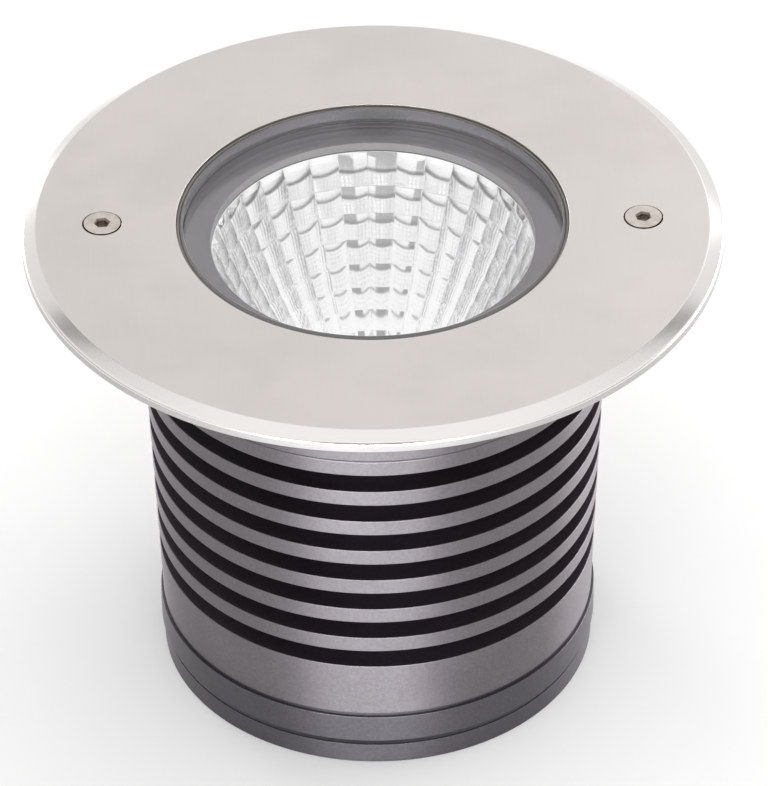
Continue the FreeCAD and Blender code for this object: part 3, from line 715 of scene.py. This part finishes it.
def rubberRing(name, inner, outer, low, top, edges, segments):
    # edges are the roundings, from the inner lower corner outwards and round
    corners = ((inner, low), (outer, low), (outer, top), (inner, top))
    outline = rounded([(r, z, edge) for (r, z), edge in zip(corners, edges)])
    return settle(newPiece(name, spin(outline, segments), sealRubber))


def makeGasket():
    p = gasket
    return rubberRing("lowerGasket", p["inner"], p["outer"], p["low"], p["top"], (0.1, 0.1, 0.1, 0.1), 192)


def makeTrimRing():
    # a dished ring: the glass rests on its outer land, and a lip stands round its opening
    p = trim
    outline = rounded([
        (p["inner"], p["low"], 0.15), (p["inner"] + p["wall"], p["low"], 0.15),
        (p["inner"] + p["wall"], p["under"] - 0.3, 0.2), (p["seat"] - 0.5, p["under"], 0.1),
        (p["seat"] + 0.6, p["top"] - p["plate"], 0.1), (p["outer"], p["top"] - p["plate"], 0.1),
        (p["outer"], p["top"], 0.1), (p["seat"], p["top"], 0.12), (p["seat"], p["face"], 0.15),
        (p["inner"], p["lipTop"], 0.2),
    ])
    piece = settle(newPiece("antiGlareRing", spin(outline, 256), trimPaint, lipPaint, innerWallLightPaint))

    def choose(r, z, normal):
        # the upright inner wall of the opening gets painted light; the lip's top is paler
        if r < p["inner"] + 0.1 and abs(normal.z) < 0.3:
            return 2
        return 1 if r < p["inner"] + 0.4 else 0

    return paint(piece, choose)


seat(makeGlassLens(), "lens_glass", "glass_lens")
seat(makeSealRing(), "seal_rubber", "upper_lens_gasket")
seat(makeGasket(), "seal_rubber", "lower_lens_gasket")
seat(makeTrimRing(), "trim_grey", "trim_ring")
print("glass and its rings made")


# Collar

body = {"seam": 86.2, "seamRadius": 50.25, "topRadius": 51.07, "flange": 63.0, "flangeLow": 103.2,
        "flangeTop": 109.2, "pocket": 46.4, "ledge": 102.8, "bore": 40.8, "socket": 45.05, "socketTop": 94.6,
        "seamBreak": 0.4, "screwHole": 2.02, "screwHoleLow": 100.0, "segments": 256}


def makeCollar():
    p = body
    lean = (p["topRadius"] - p["seamRadius"]) / (plate["low"] - p["seam"])
    atFlange = p["topRadius"] - (plate["low"] - p["flangeLow"]) * lean
    outline = rounded([
        (p["socket"], p["seam"], 0.1), (p["seamRadius"], p["seam"], p["seamBreak"]),
        (atFlange, p["flangeLow"], 0.5), (p["flange"], p["flangeLow"], 0.3),
        (p["flange"], p["flangeTop"], 0.7), (p["pocket"], p["flangeTop"], 0.2),
        (p["pocket"], p["ledge"], 0.0), (p["bore"], p["ledge"], 0.2),
        (p["bore"], p["socketTop"], 0.2), (p["socket"], p["socketTop"], 0.0),
    ])
    piece = newPiece("collar", spin(outline, p["segments"]), bodyMetal, flangeReflectionMetal)
    low, high = p["screwHoleLow"], plate["top"]
    for side in (1, -1):
        hole = [(0, low), (p["screwHole"], low), (p["screwHole"], high), (0, high)]
        carve(piece, shifted(spin(hole, 48), side * plate["screwCircle"] / 2))
    settle(piece)
    # the flange under the plate gets the painted reflection of the plate
    return paint(piece, lambda r, z, normal: 1 if r > p["topRadius"] + 0.8 else 0)


seat(makeCollar(), "body_aluminium", "collar")


# Finned housing: its outline repeats one groove down the tapered side

fins = {
    "count": 7, "pitch": 8.33, "width": 4.42, "firstTop": 82.27, "floor": 41.0, "deep": 4.0, "edge": 0.22,
    "root": 0.5, "low": 14.1, "lowRadius": 47.61, "lastLand": 20.0, "firstLand": 84.0, "chamber": 38.0,
    "spigot": 45.0, "spigotTop": 94.2, "webTop": 55.0, "webLow": 48.0, "segments": 256,
}


def landRadius(z):
    share = (z - fins["low"]) / (body["seam"] - fins["low"])
    return fins["lowRadius"] + (body["seamRadius"] - fins["lowRadius"]) * share


def grooveOutline():
    # one groove from its upper edge down to its lower edge: x is 0 on its floor and "deep" at the land
    p = fins
    deep, width = p["deep"], p["width"]
    corners = [(deep, 1.0, 0), (deep, 0.0, p["edge"]), (0.0, 0.0, p["root"]), (0.0, -width, p["root"]),
               (deep, -width, p["edge"]), (deep, -width - 1.0, 0)]
    return rounded(corners)[1:-1]


def sealGroove(radius, low):
    # the corners of a sealing ring's groove in an outer wall, from below
    depth, width = 1.7, 2.4
    return [(radius, low, 0.1), (radius - depth, low, 0.2), (radius - depth, low + width, 0.2),
            (radius, low + width, 0.1)]


def restOfHousing():
    # from below the last groove, round the inside and back up to the first groove
    p = fins
    seam = body["seam"]
    corners = [
        (landRadius(p["lastLand"]), p["lastLand"], 0), (p["lowRadius"], p["low"], 0.15),
        (p["chamber"], p["low"], 0.2), (p["chamber"], p["webLow"], 0.8),
        (0, p["webLow"], 0), (0, p["webTop"], 0),
        (p["chamber"], p["webTop"], 0.8), (p["chamber"], p["spigotTop"], 0.3),
        (p["spigot"], p["spigotTop"], 0.5), *reversed(sealGroove(p["spigot"], seam + 3.0)),
        (p["spigot"], seam, 0.0),
        (body["seamRadius"], seam, body["seamBreak"]), (landRadius(p["firstLand"]), p["firstLand"], 0),
    ]
    return [tuple(point) for point in rounded(corners)[1:-1]]


def makeHousing():
    p = fins
    points = restOfHousing()
    groove = grooveOutline()
    for k in range(p["count"]):
        top = p["firstTop"] - p["pitch"] * k
        for x, down in groove:
            z = top + down
            onLand = x > p["deep"] / 2
            points.append((landRadius(z) + x - p["deep"] if onLand else p["floor"] + x, z))
    piece = newPiece("finnedHousing", spin(points, p["segments"]), bodyMetal, grooveMetal)
    settle(piece)

    def choose(r, z, normal):
        # the groove walls and floors are coloured darker than the lands
        inGroove = p["low"] + 4 < z < body["seam"] - 1 and p["floor"] - 1 < r < landRadius(z) - 0.1
        return 1 if inGroove else 0

    return paint(piece, choose)


seat(makeHousing(), "body_aluminium", "finned_housing")
print("collar and finned housing made")


# Base cap and its screws

cap = {
    "radius": 48.2, "foot": 47.6, "step": 5.0, "stepChamfer": 1.75, "stepIn": 0.2, "line": 0.7, "gap": 0.68,
    "seam": 14.1, "top": 20.5, "floor": 4.0, "recess": 20.0, "hole": 8.1, "spigot": 37.95, "segments": 256,
    "screwCircle": 85.6, "pocket": 4.0, "pocketDepth": 6.0, "pocketEdge": 0.6, "screwHole": 2.25,
    "screwHoleTop": 16.0,
}


def screwPocket():
    # a base screw's pocket and hole, cut from below
    p = cap
    mouth = p["pocket"] + p["pocketEdge"]
    return spin(rounded([
        (0, -1, 0), (mouth, -1, 0), (mouth, -0.2, 0), (p["pocket"], 0.35, 0),
        (p["pocket"], p["pocketDepth"], 0.2), (p["screwHole"], p["pocketDepth"], 0),
        (p["screwHole"], p["screwHoleTop"], 0), (0, p["screwHoleTop"], 0),
    ]), 64)


def makeBaseCap():
    p = cap
    inside, shadow = p["top"] - p["floor"], p["seam"] - p["gap"]
    outline = rounded([
        (p["hole"], inside, 0.2), (p["recess"], inside, 1.0), (p["recess"], 0, 0.4),
        (p["foot"], 0, 0.45), (p["foot"], p["step"], 0.05), (p["foot"] - p["stepIn"], p["step"], 0.0),
        (p["radius"], p["step"] + p["stepChamfer"], 0.1),
        (p["radius"], shadow, 0.15), (p["radius"] - p["line"], shadow, 0.0),
        (p["radius"] - p["line"], p["seam"], 0.0), (p["spigot"], p["seam"], 0.0),
        *sealGroove(p["spigot"], p["seam"] + 1.6), (p["spigot"], p["top"], 0.4), (p["hole"], p["top"], 0.2),
    ])
    piece = newPiece("baseCap", spin(outline, p["segments"]), capMetal, capChamferShadeMetal)
    for k in range(4):
        angle = math.radians(45 + 90 * k)
        circle = p["screwCircle"] / 2
        carve(piece, shifted(screwPocket(), circle * math.cos(angle), circle * math.sin(angle)))
    settle(piece)

    def choose(r, z, normal):
        # the downward chamfer under the step gets painted shade, for the dark line there
        onLine = r > p["foot"] - p["stepIn"] and p["step"] < z < p["step"] + p["stepChamfer"]
        return 1 if onLine and normal.z < -0.2 else 0

    return paint(piece, choose)


baseScrew = {
    "thread": 4.0, "threadDepth": 0.25, "tip": 0.4, "length": 18.0, "socket": 3.0, "headRatio": 0.875,
}


def makeBaseScrews():
    # cap screws, their heads down in the pockets
    p = baseScrew
    shank, length, tall = p["thread"] / 2, p["length"], p["thread"]
    head = p["headRatio"] * p["thread"]
    outline = [(0, length, 0), (shank - p["tip"], length, 0), (shank, length - p["tip"], 0)]
    outline += threadRings(length - 2 * p["tip"], 0.9, shank, p["threadDepth"], -0.3)
    outline += [(shank - 0.1, 0, 0.1), (head, 0, 0.1), (head, -tall, 0.35), (0, -tall, 0)]
    seatHeight = cap["pocketDepth"]
    placed = [(r, seatHeight + z) for r, z in rounded(outline)]
    piece = newPiece("baseScrews", spin(placed, 48), screwSteel, socketShadeSteel)
    carve(piece, prism(6, p["socket"], seatHeight - tall - 0.01, seatHeight - tall / 2))
    ringOf(piece, 4, cap["screwCircle"], 45.0, 60.0, 7, screwSteel)
    return settle(piece, 30.0)


seat(makeBaseCap(), "cap_aluminium", "base_cap")
seat(makeBaseScrews(), "screw_steel", "base_screws")
print("base cap made")


# Cable gland in the base

gland = {
    "flats": 20.0, "corners": 12.0, "nutLow": 2.5, "nutHeight": 9.0, "hexLow": 11.5, "hexHigh": 15.5,
    "thread": 8.0, "mouth": 5.0, "threadTop": 26.0, "bore": 5.0, "pocket": 6.45, "sealRadius": 6.4,
    "sealLow": 4.5, "sealTop": 13.5, "cable": 4.2, "washer": 11.0, "washerBore": 8.1, "washerTop": 16.5,
    "nose": 8.0, "noseTall": 3.2, "nutEnd": 10.6, "hexFoot": 10.7, "hexEnd": 11.2,
}


def makeGlandNut():
    p = gland
    low = p["nutLow"]
    high = low + p["nutHeight"]
    outline = rounded([
        (p["mouth"], low, 0.4), (p["nose"], low, 1.2), (p["corners"], low + p["noseTall"], 0.6),
        (p["corners"], high - 0.7, 0.2), (p["nutEnd"], high, 0.2), (p["thread"], high, 0.1),
        (p["thread"], low + 2.5, 0), (p["mouth"], low + 2.0, 0),
    ])
    piece = newPiece("glandNut", spin(outline, 96), nickelPlate)
    carve(piece, prism(6, p["flats"], low - 1, high + 1), "INTERSECT")
    return settle(piece, 32.0)


def makeGlandBody():
    p = gland
    low = p["nutLow"] + 3.0
    threaded = [
        (p["thread"], p["hexHigh"], 0), (p["thread"], p["threadTop"], 0.6), (p["bore"], p["threadTop"], 0.4),
    ]
    outline = rounded([
        (p["pocket"], low, 0.2), (p["thread"] - 0.1, low, 0.3), (p["thread"] - 0.1, p["hexLow"], 0),
        (p["hexFoot"], p["hexLow"], 0.3), (p["corners"], p["hexLow"] + 0.8, 0),
        (p["corners"], p["hexHigh"] - 0.4, 0), (p["hexEnd"], p["hexHigh"], 0.1), *threaded,
        (p["bore"], p["sealTop"], 0.2), (p["pocket"], p["sealTop"], 0),
    ])
    piece = newPiece("glandBody", spin(outline, 96), nickelPlate)
    # the hexagon is cut to its height, then the thread above it goes back on
    carve(piece, prism(6, p["flats"], low - 1, p["hexHigh"] + 0.001), "INTERSECT")
    carve(piece, spin(rounded([(p["bore"], p["hexHigh"], 0), *threaded]), 96), "UNION")
    return settle(piece, 32.0)


def makeGlandSeal():
    p = gland
    return rubberRing("glandSeal", p["cable"], p["sealRadius"], p["sealLow"], p["sealTop"],
                      (0.5, 0.3, 0.2, 0.3), 96)


def makeGlandWasher():
    p = gland
    return rubberRing("glandWasher", p["washerBore"], p["washer"], p["hexHigh"], p["washerTop"],
                      (0.2, 0.3, 0.3, 0.2), 96)


seat(makeGlandNut(), "gland_nickel", "gland_nut")
seat(makeGlandBody(), "gland_nickel", "gland_body")
seat(makeGlandSeal(), "seal_rubber", "gland_seal")
seat(makeGlandWasher(), "seal_rubber", "gland_washer")
print("cable gland made")


# Reflector: one flat patch is a facet, and the tree makes the bowl of it

bowl = {
    "columns": 33, "rows": 9, "firstRow": 6.0, "shorter": 0.36, "firstEdge": 99.9, "rim": 100.9,
    "throat": 59.0, "mouth": 34.4, "neck": 10.9, "across": 0.34, "along": 0.32, "fade": 1.9, "phase": 4.48,
    "wall": 1.3, "flange": 37.5, "backSteps": 14,
    "stepsAcross": (0.0, 0.02, 0.12, 0.25, 0.375, 0.5, 0.625, 0.75, 0.88, 0.98, 1.0),
    "stepsAlong": (0.0, 0.03, 0.18, 0.38, 0.6, 0.8, 0.96, 1.0),
}


def rowsDown(z):
    # how many rows, and part of a row, lie above a height
    first, shorter = bowl["firstRow"] + bowl["shorter"] / 2, bowl["shorter"] / 2
    drop = bowl["firstEdge"] - z
    return (first - math.sqrt(first * first - 4 * shorter * drop)) / (2 * shorter)


def facetPatch():
    # a unit square with more points near its edges, for a crisp line between facets
    mesh = bmesh.new()
    rows = [[mesh.verts.new((u, v, 0)) for u in bowl["stepsAcross"]] for v in bowl["stepsAlong"]]
    for low, high in zip(rows, rows[1:]):
        for k in range(len(low) - 1):
            mesh.faces.new((low[k], low[k + 1], high[k + 1], high[k]))
    return newPiece("reflector", mesh, reflectorMetal)


def bowlTree():
    tree, given = startGeometry("facetedBowl", ["Columns", "Rows"], [
        "First row", "Shorter", "First edge", "Rim", "Throat", "Mouth", "Neck", "Bulge across", "Bulge along",
        "Fade", "Rows at throat", "Phase",
    ])
    line = add(tree, "GeometryNodeMeshLine", {"Count": given["Rows"], "Offset": (0.0, 1.0, 0.0)})
    stacked = add(tree, "GeometryNodeInstanceOnPoints", {
        "Points": line.outputs[0], "Instance": given["Geometry"],
    })
    strip = add(tree, "GeometryNodeRealizeInstances", {"Geometry": stacked.outputs[0]})
    joined = add(tree, "GeometryNodeMergeByDistance", {"Geometry": strip.outputs[0], "Distance": 0.002})
    parts = add(tree, "ShaderNodeSeparateXYZ", {"Vector": add(tree, "GeometryNodeInputPosition").outputs[0]})
    u, t = Flow(tree, parts.outputs[0]), Flow(tree, parts.outputs[1])
    # the throat cuts the last row
    last = given["Rows"] - 1.0
    down = t + (t - last).math("MAXIMUM", 0.0) * (given["Rows at throat"] - given["Rows"])
    drop = down * given["First row"] - down * (down - 1.0) * given["Shorter"] * 0.5
    z = given["First edge"] - drop
    rise = (z - given["Throat"]) / (given["Rim"] - given["Throat"])
    spread = given["Mouth"] * given["Mouth"] - given["Neck"] * given["Neck"]
    r = (given["Neck"] * given["Neck"] + spread * rise).math("SQRT")
    slope = spread / (given["Rim"] - given["Throat"]) / (r * 2.0)
    lean = (slope * slope + 1.0).math("SQRT")
    scale = r / given["Mouth"]
    half = given["Columns"].math("POWER", -1.0) * math.pi
    side = u * 2.0 - 1.0
    level = down.math("FRACT") * 2.0 - 1.0
    hump = (side * side * -1.0 + 1.0) * given["Bulge across"] * scale
    swell = (level * level * -1.0 + 1.0) * given["Bulge along"] * scale.math("POWER", given["Fade"])
    shrunk = r - swell / lean
    place = add(tree, "ShaderNodeCombineXYZ", {
        "X": shrunk * half.math("COSINE") - hump, "Y": shrunk * half.math("SINE") * side,
        "Z": z + swell * slope / lean,
    })
    gore = add(tree, "GeometryNodeSetPosition", {"Geometry": joined.outputs[0], "Position": place.outputs[0]})
    points = add(tree, "GeometryNodePoints", {"Count": given["Columns"]})
    index = Flow(tree, add(tree, "GeometryNodeInputIndex").outputs[0])
    angle = (index + 0.5) * half * 2.0 + given["Phase"]
    turned = add(tree, "ShaderNodeCombineXYZ", {"Z": angle})
    gores = add(tree, "GeometryNodeInstanceOnPoints", {
        "Points": points.outputs[0], "Instance": gore.outputs[0], "Rotation": turned.outputs[0],
    })
    whole = add(tree, "GeometryNodeRealizeInstances", {"Geometry": gores.outputs[0]})
    sewn = add(tree, "GeometryNodeMergeByDistance", {"Geometry": whole.outputs[0], "Distance": 0.00001})
    return endGeometry(tree, sewn.outputs[0], given["Finish"])


def bowlRadius(z):
    rise = (z - bowl["throat"]) / (bowl["rim"] - bowl["throat"])
    return math.sqrt(bowl["neck"] ** 2 + (bowl["mouth"] ** 2 - bowl["neck"] ** 2) * rise)


def backOutline():
    # from the open mouth over the flange and down the outside to the throat
    p = bowl
    under = p["rim"] - p["wall"]
    corners = [
        (p["mouth"] - 0.5, p["rim"] - 1.0, 0), (p["mouth"], p["rim"], 0.15), (p["flange"], p["rim"], 0.2),
        (p["flange"], under, 0.2), (bowlRadius(under) + p["wall"], under, 0.6),
        (p["neck"] + p["wall"] + 0.6, p["throat"], 0.0),
    ]
    low, steps = under - 0.8, p["backSteps"]
    heights = [low - (low - p["throat"]) * k / steps for k in range(1, steps + 1)]
    return rounded(corners)[1:-1] + [(bowlRadius(z) + p["wall"], z) for z in heights]


def turnOf(vertex):
    return math.atan2(vertex.co.y, vertex.co.x)


def makeReflector():
    p = bowl
    piece = facetPatch()
    runGeometry(piece, bowlTree(), {
        "Columns": p["columns"], "Rows": p["rows"], "First row": p["firstRow"] * mm,
        "Shorter": p["shorter"] * mm, "First edge": p["firstEdge"] * mm, "Rim": p["rim"] * mm,
        "Throat": p["throat"] * mm, "Mouth": p["mouth"] * mm, "Neck": p["neck"] * mm,
        "Bulge across": p["across"] * mm, "Bulge along": p["along"] * mm, "Fade": p["fade"],
        "Rows at throat": rowsDown(p["throat"]), "Phase": math.radians(p["phase"]), "Finish": reflectorMetal,
    })
    mesh = bmesh.new()
    mesh.from_mesh(piece.data)
    # the back joins the facets' two open edges, at the mouth and at the throat
    half = (p["rim"] + p["throat"]) / 2 * mm
    loose = {vertex for edge in mesh.edges if edge.is_boundary for vertex in edge.verts}
    mouth = sorted((vertex for vertex in loose if vertex.co.z > half), key=turnOf)
    throat = sorted((vertex for vertex in loose if vertex.co.z < half), key=turnOf)
    turns = [turnOf(vertex) for vertex in mouth]
    rings = [mouth] + [ringAt(mesh, r, z, turns) for r, z in backOutline()] + [throat]
    for low, high in zip(rings, rings[1:]):
        bridge(mesh, low, high)
    bmesh.ops.recalc_face_normals(mesh, faces=mesh.faces)
    mesh.to_mesh(piece.data)
    mesh.free()
    piece.data.shade_smooth()
    piece.data.set_sharp_from_angle(angle=math.radians(50))
    return piece


seat(makeReflector(), "reflector_metal", "reflector")
print("reflector made")


# Light source

led = {"phosphor": 7.25, "low": 56.8, "top": 57.4, "dam": 0.7}


def makePhosphorDisc():
    p = led
    r = p["phosphor"]
    outline = rounded([
        (0, p["low"], 0), (r, p["low"], 0), (r, p["top"] - 0.05, 0.2), (r * 0.6, p["top"] + 0.02, 0),
        (0, p["top"] + 0.06, 0),
    ])
    piece = newPiece("ledPhosphor", spin(outline, 96), phosphorGel, whitePlastic)
    settle(piece)
    return paint(piece, lambda distance, z, normal: 1 if distance > r - p["dam"] else 0)


seat(makePhosphorDisc(), "phosphor_yellow", "led_phosphor")

carried = {
    "led_board": (whiteCeramic, "board_ceramic"), "thermal_pad": (padSilicone, "pad_grey"),
    "led_holder": (whitePlastic, "holder_white"), "holder_screws": (screwSteel, "screw_steel"),
    "led_leads": (leadSilicone, "lead_insulation"), "driver_case": (driverPlastic, "driver_black"),
    "driver_lid": (driverPlastic, "driver_black"), "driver_screws": (screwSteel, "screw_steel"),
    "terminal_block": (whitePlastic, "holder_white"), "gland_locknut": (nickelPlate, "gland_nickel"),
    "collar_seal_ring": (sealRubber, "seal_rubber"), "base_seal_ring": (sealRubber, "seal_rubber"),
}
for name, (material, slot) in carried.items():
    nodes[name].data.materials.clear()
    nodes[name].data.materials.append(material)
print("inner pieces finished:", len(carried))


# Studio

# brightness of the surroundings; azimuths in degrees from the front or the back, heights above the horizon
studio = {
    "floor": (0.90, 0.90, 0.90), "floorSize": 6.0,
    "front": 1.12, "back": 1.00, "backLeft": 0.92, "turning": (70.0, 130.0),
    "top": 1.15, "topFrom": (50.0, 75.0),
    "sideLow": 0.45, "sideFrom": (42.0, 62.0), "sideTo": (100.0, 125.0), "sideHigh": (6.0, 16.0),
    "gapAzimuth": 51.0, "gapHalf": 2.2, "gapDepth": 0.80, "gapLow": (34.0, 38.0), "gapHigh": (54.0, 58.0),
    "cameraDark": 0.36, "cameraAzimuth": -2.0, "cameraHalf": 14.0, "cameraLow": 3.0, "cameraHigh": 50.0,
}


def makeFloor():
    size = studio["floorSize"] / 2
    mesh = bmesh.new()
    bmesh.ops.create_grid(mesh, x_segments=2, y_segments=2, size=size)
    floor = newPiece("floor", mesh)
    if floor.data.polygons[0].normal.z < 0:
        floor.data.flip_normals()
    material, tree, place = startMaterial("paleFloor")
    soft = noise(tree, place, 3.0)
    base = blendColours(tree, soft, colour(studio["floor"]), colour([c * 0.99 for c in studio["floor"]]))
    endMaterial(material, tree, {"Base Color": base, "Roughness": 0.9, "Specular IOR Level": 0.1})
    floor.data.materials.append(material)


def makeWorld():
    world = bpy.data.worlds.new("softStudio")
    bpy.context.scene.world = world
    world.use_nodes = True
    tree = world.node_tree
    tree.nodes.clear()
    way = add(tree, "ShaderNodeTexCoord").outputs["Generated"]
    parts = add(tree, "ShaderNodeSeparateXYZ", {"Vector": way})
    x, y, z = (Flow(tree, socket) for socket in parts.outputs)
    # azimuth from the front towards +X, in degrees, and height above the horizon
    p = studio
    around = x.math("ARCTAN2", y * -1.0) * (180 / math.pi)
    up = z.math("ARCSINE") * (180 / math.pi)
    off = around.math("ABSOLUTE")

    def mixed(first, second, share):
        return (share * -1.0 + 1.0) * first + share * second

    def outside(value, low, high):
        # the reverse of band: 1 below low, 0 above high
        return value.band(low, high) * -1.0 + 1.0

    back = mixed(p["backLeft"], p["back"], x.band(-0.55, 0.35))
    light = mixed(p["front"], back, off.band(*p["turning"]))
    side = off.band(*p["sideFrom"]) * outside(off, *p["sideTo"]) * outside(up, *p["sideHigh"])
    light = mixed(light, p["sideLow"], side)
    light = mixed(light, p["top"], up.band(*p["topFrom"]))
    # narrow dark gaps on either side of the back light
    gapSide = (off - (180.0 - p["gapAzimuth"])).math("ABSOLUTE")
    gap = outside(gapSide, p["gapHalf"], p["gapHalf"] + 2.0)
    gap = gap * up.band(*p["gapLow"]) * outside(up, *p["gapHigh"])
    light = light * (gap * -p["gapDepth"] + 1.0)
    # the camera and its stand
    standSide = (around - p["cameraAzimuth"]).math("ABSOLUTE")
    stand = outside(standSide, p["cameraHalf"], p["cameraHalf"] + 2.5)
    stand = stand * up.band(p["cameraLow"] - 1.5, p["cameraLow"])
    stand = stand * outside(up, p["cameraHigh"], p["cameraHigh"] + 2.0)
    light = mixed(light, p["cameraDark"], stand)
    shade = add(tree, "ShaderNodeBackground", {"Strength": light, "Color": (1.0, 0.995, 0.985, 1.0)})
    result = tree.nodes.new("ShaderNodeOutputWorld")
    tree.links.new(shade.outputs[0], result.inputs["Surface"])


def softbox(name, at, target, width, height, power, tint=(1, 1, 1)):
    # places and sizes in metres, power in watts
    data = bpy.data.lights.new(name, "AREA")
    data.shape = "RECTANGLE"
    data.size, data.size_y = width, height
    data.energy = power
    data.color = tint
    lamp = bpy.data.objects.new(name, data)
    bpy.context.scene.collection.objects.link(lamp)
    lamp.location = at
    lamp.rotation_mode = "QUATERNION"
    lamp.rotation_quaternion = (Vector(target) - Vector(at)).to_track_quat("-Z", "Y")
    lamp.visible_camera = False


camera = {"at": (1.968, -1103.4, 934.9), "elevation": 38.25, "roll": -0.012, "lens": 295.4, "sensor": 36.0}


def makeCamera():
    p = camera
    tilt = math.radians(p["elevation"])
    right = Vector((1, 0, 0))
    up = Vector((0, math.sin(tilt), math.cos(tilt)))
    back = right.cross(up)
    c, s = math.cos(p["roll"]), math.sin(p["roll"])
    right, up = right * c + up * s, up * c - right * s
    data = bpy.data.cameras.new("camera")
    data.lens = p["lens"]
    data.sensor_width = p["sensor"]
    data.clip_start, data.clip_end = 0.05, 20.0
    seen = bpy.data.objects.new("camera", data)
    bpy.context.scene.collection.objects.link(seen)
    place = Matrix((right, up, back)).transposed().to_4x4()
    place.translation = Vector(p["at"]) * mm
    seen.matrix_world = place
    bpy.context.scene.camera = seen


makeFloor()
makeWorld()
softbox("frontLow", (-0.09, -1.3, 0.10), (0, 0, 0.09), 1.30, 0.15, 29.0, (0.975, 1.0, 1.02))
softbox("backRight", (1.12, 0.52, 0.14), (0, 0, 0.08), 0.90, 0.20, 13.0)
softbox("backLeft", (-0.76, 0.98, 0.14), (0, 0, 0.08), 0.45, 0.20, 8.0)
softbox("rightPanel", (0.31, 0.62, 0.46), (0.04, 0, 0.11), 0.36, 0.30, 0.24)
makeCamera()

scene = bpy.context.scene
scene.view_settings.view_transform = "Standard"
print("studio made")
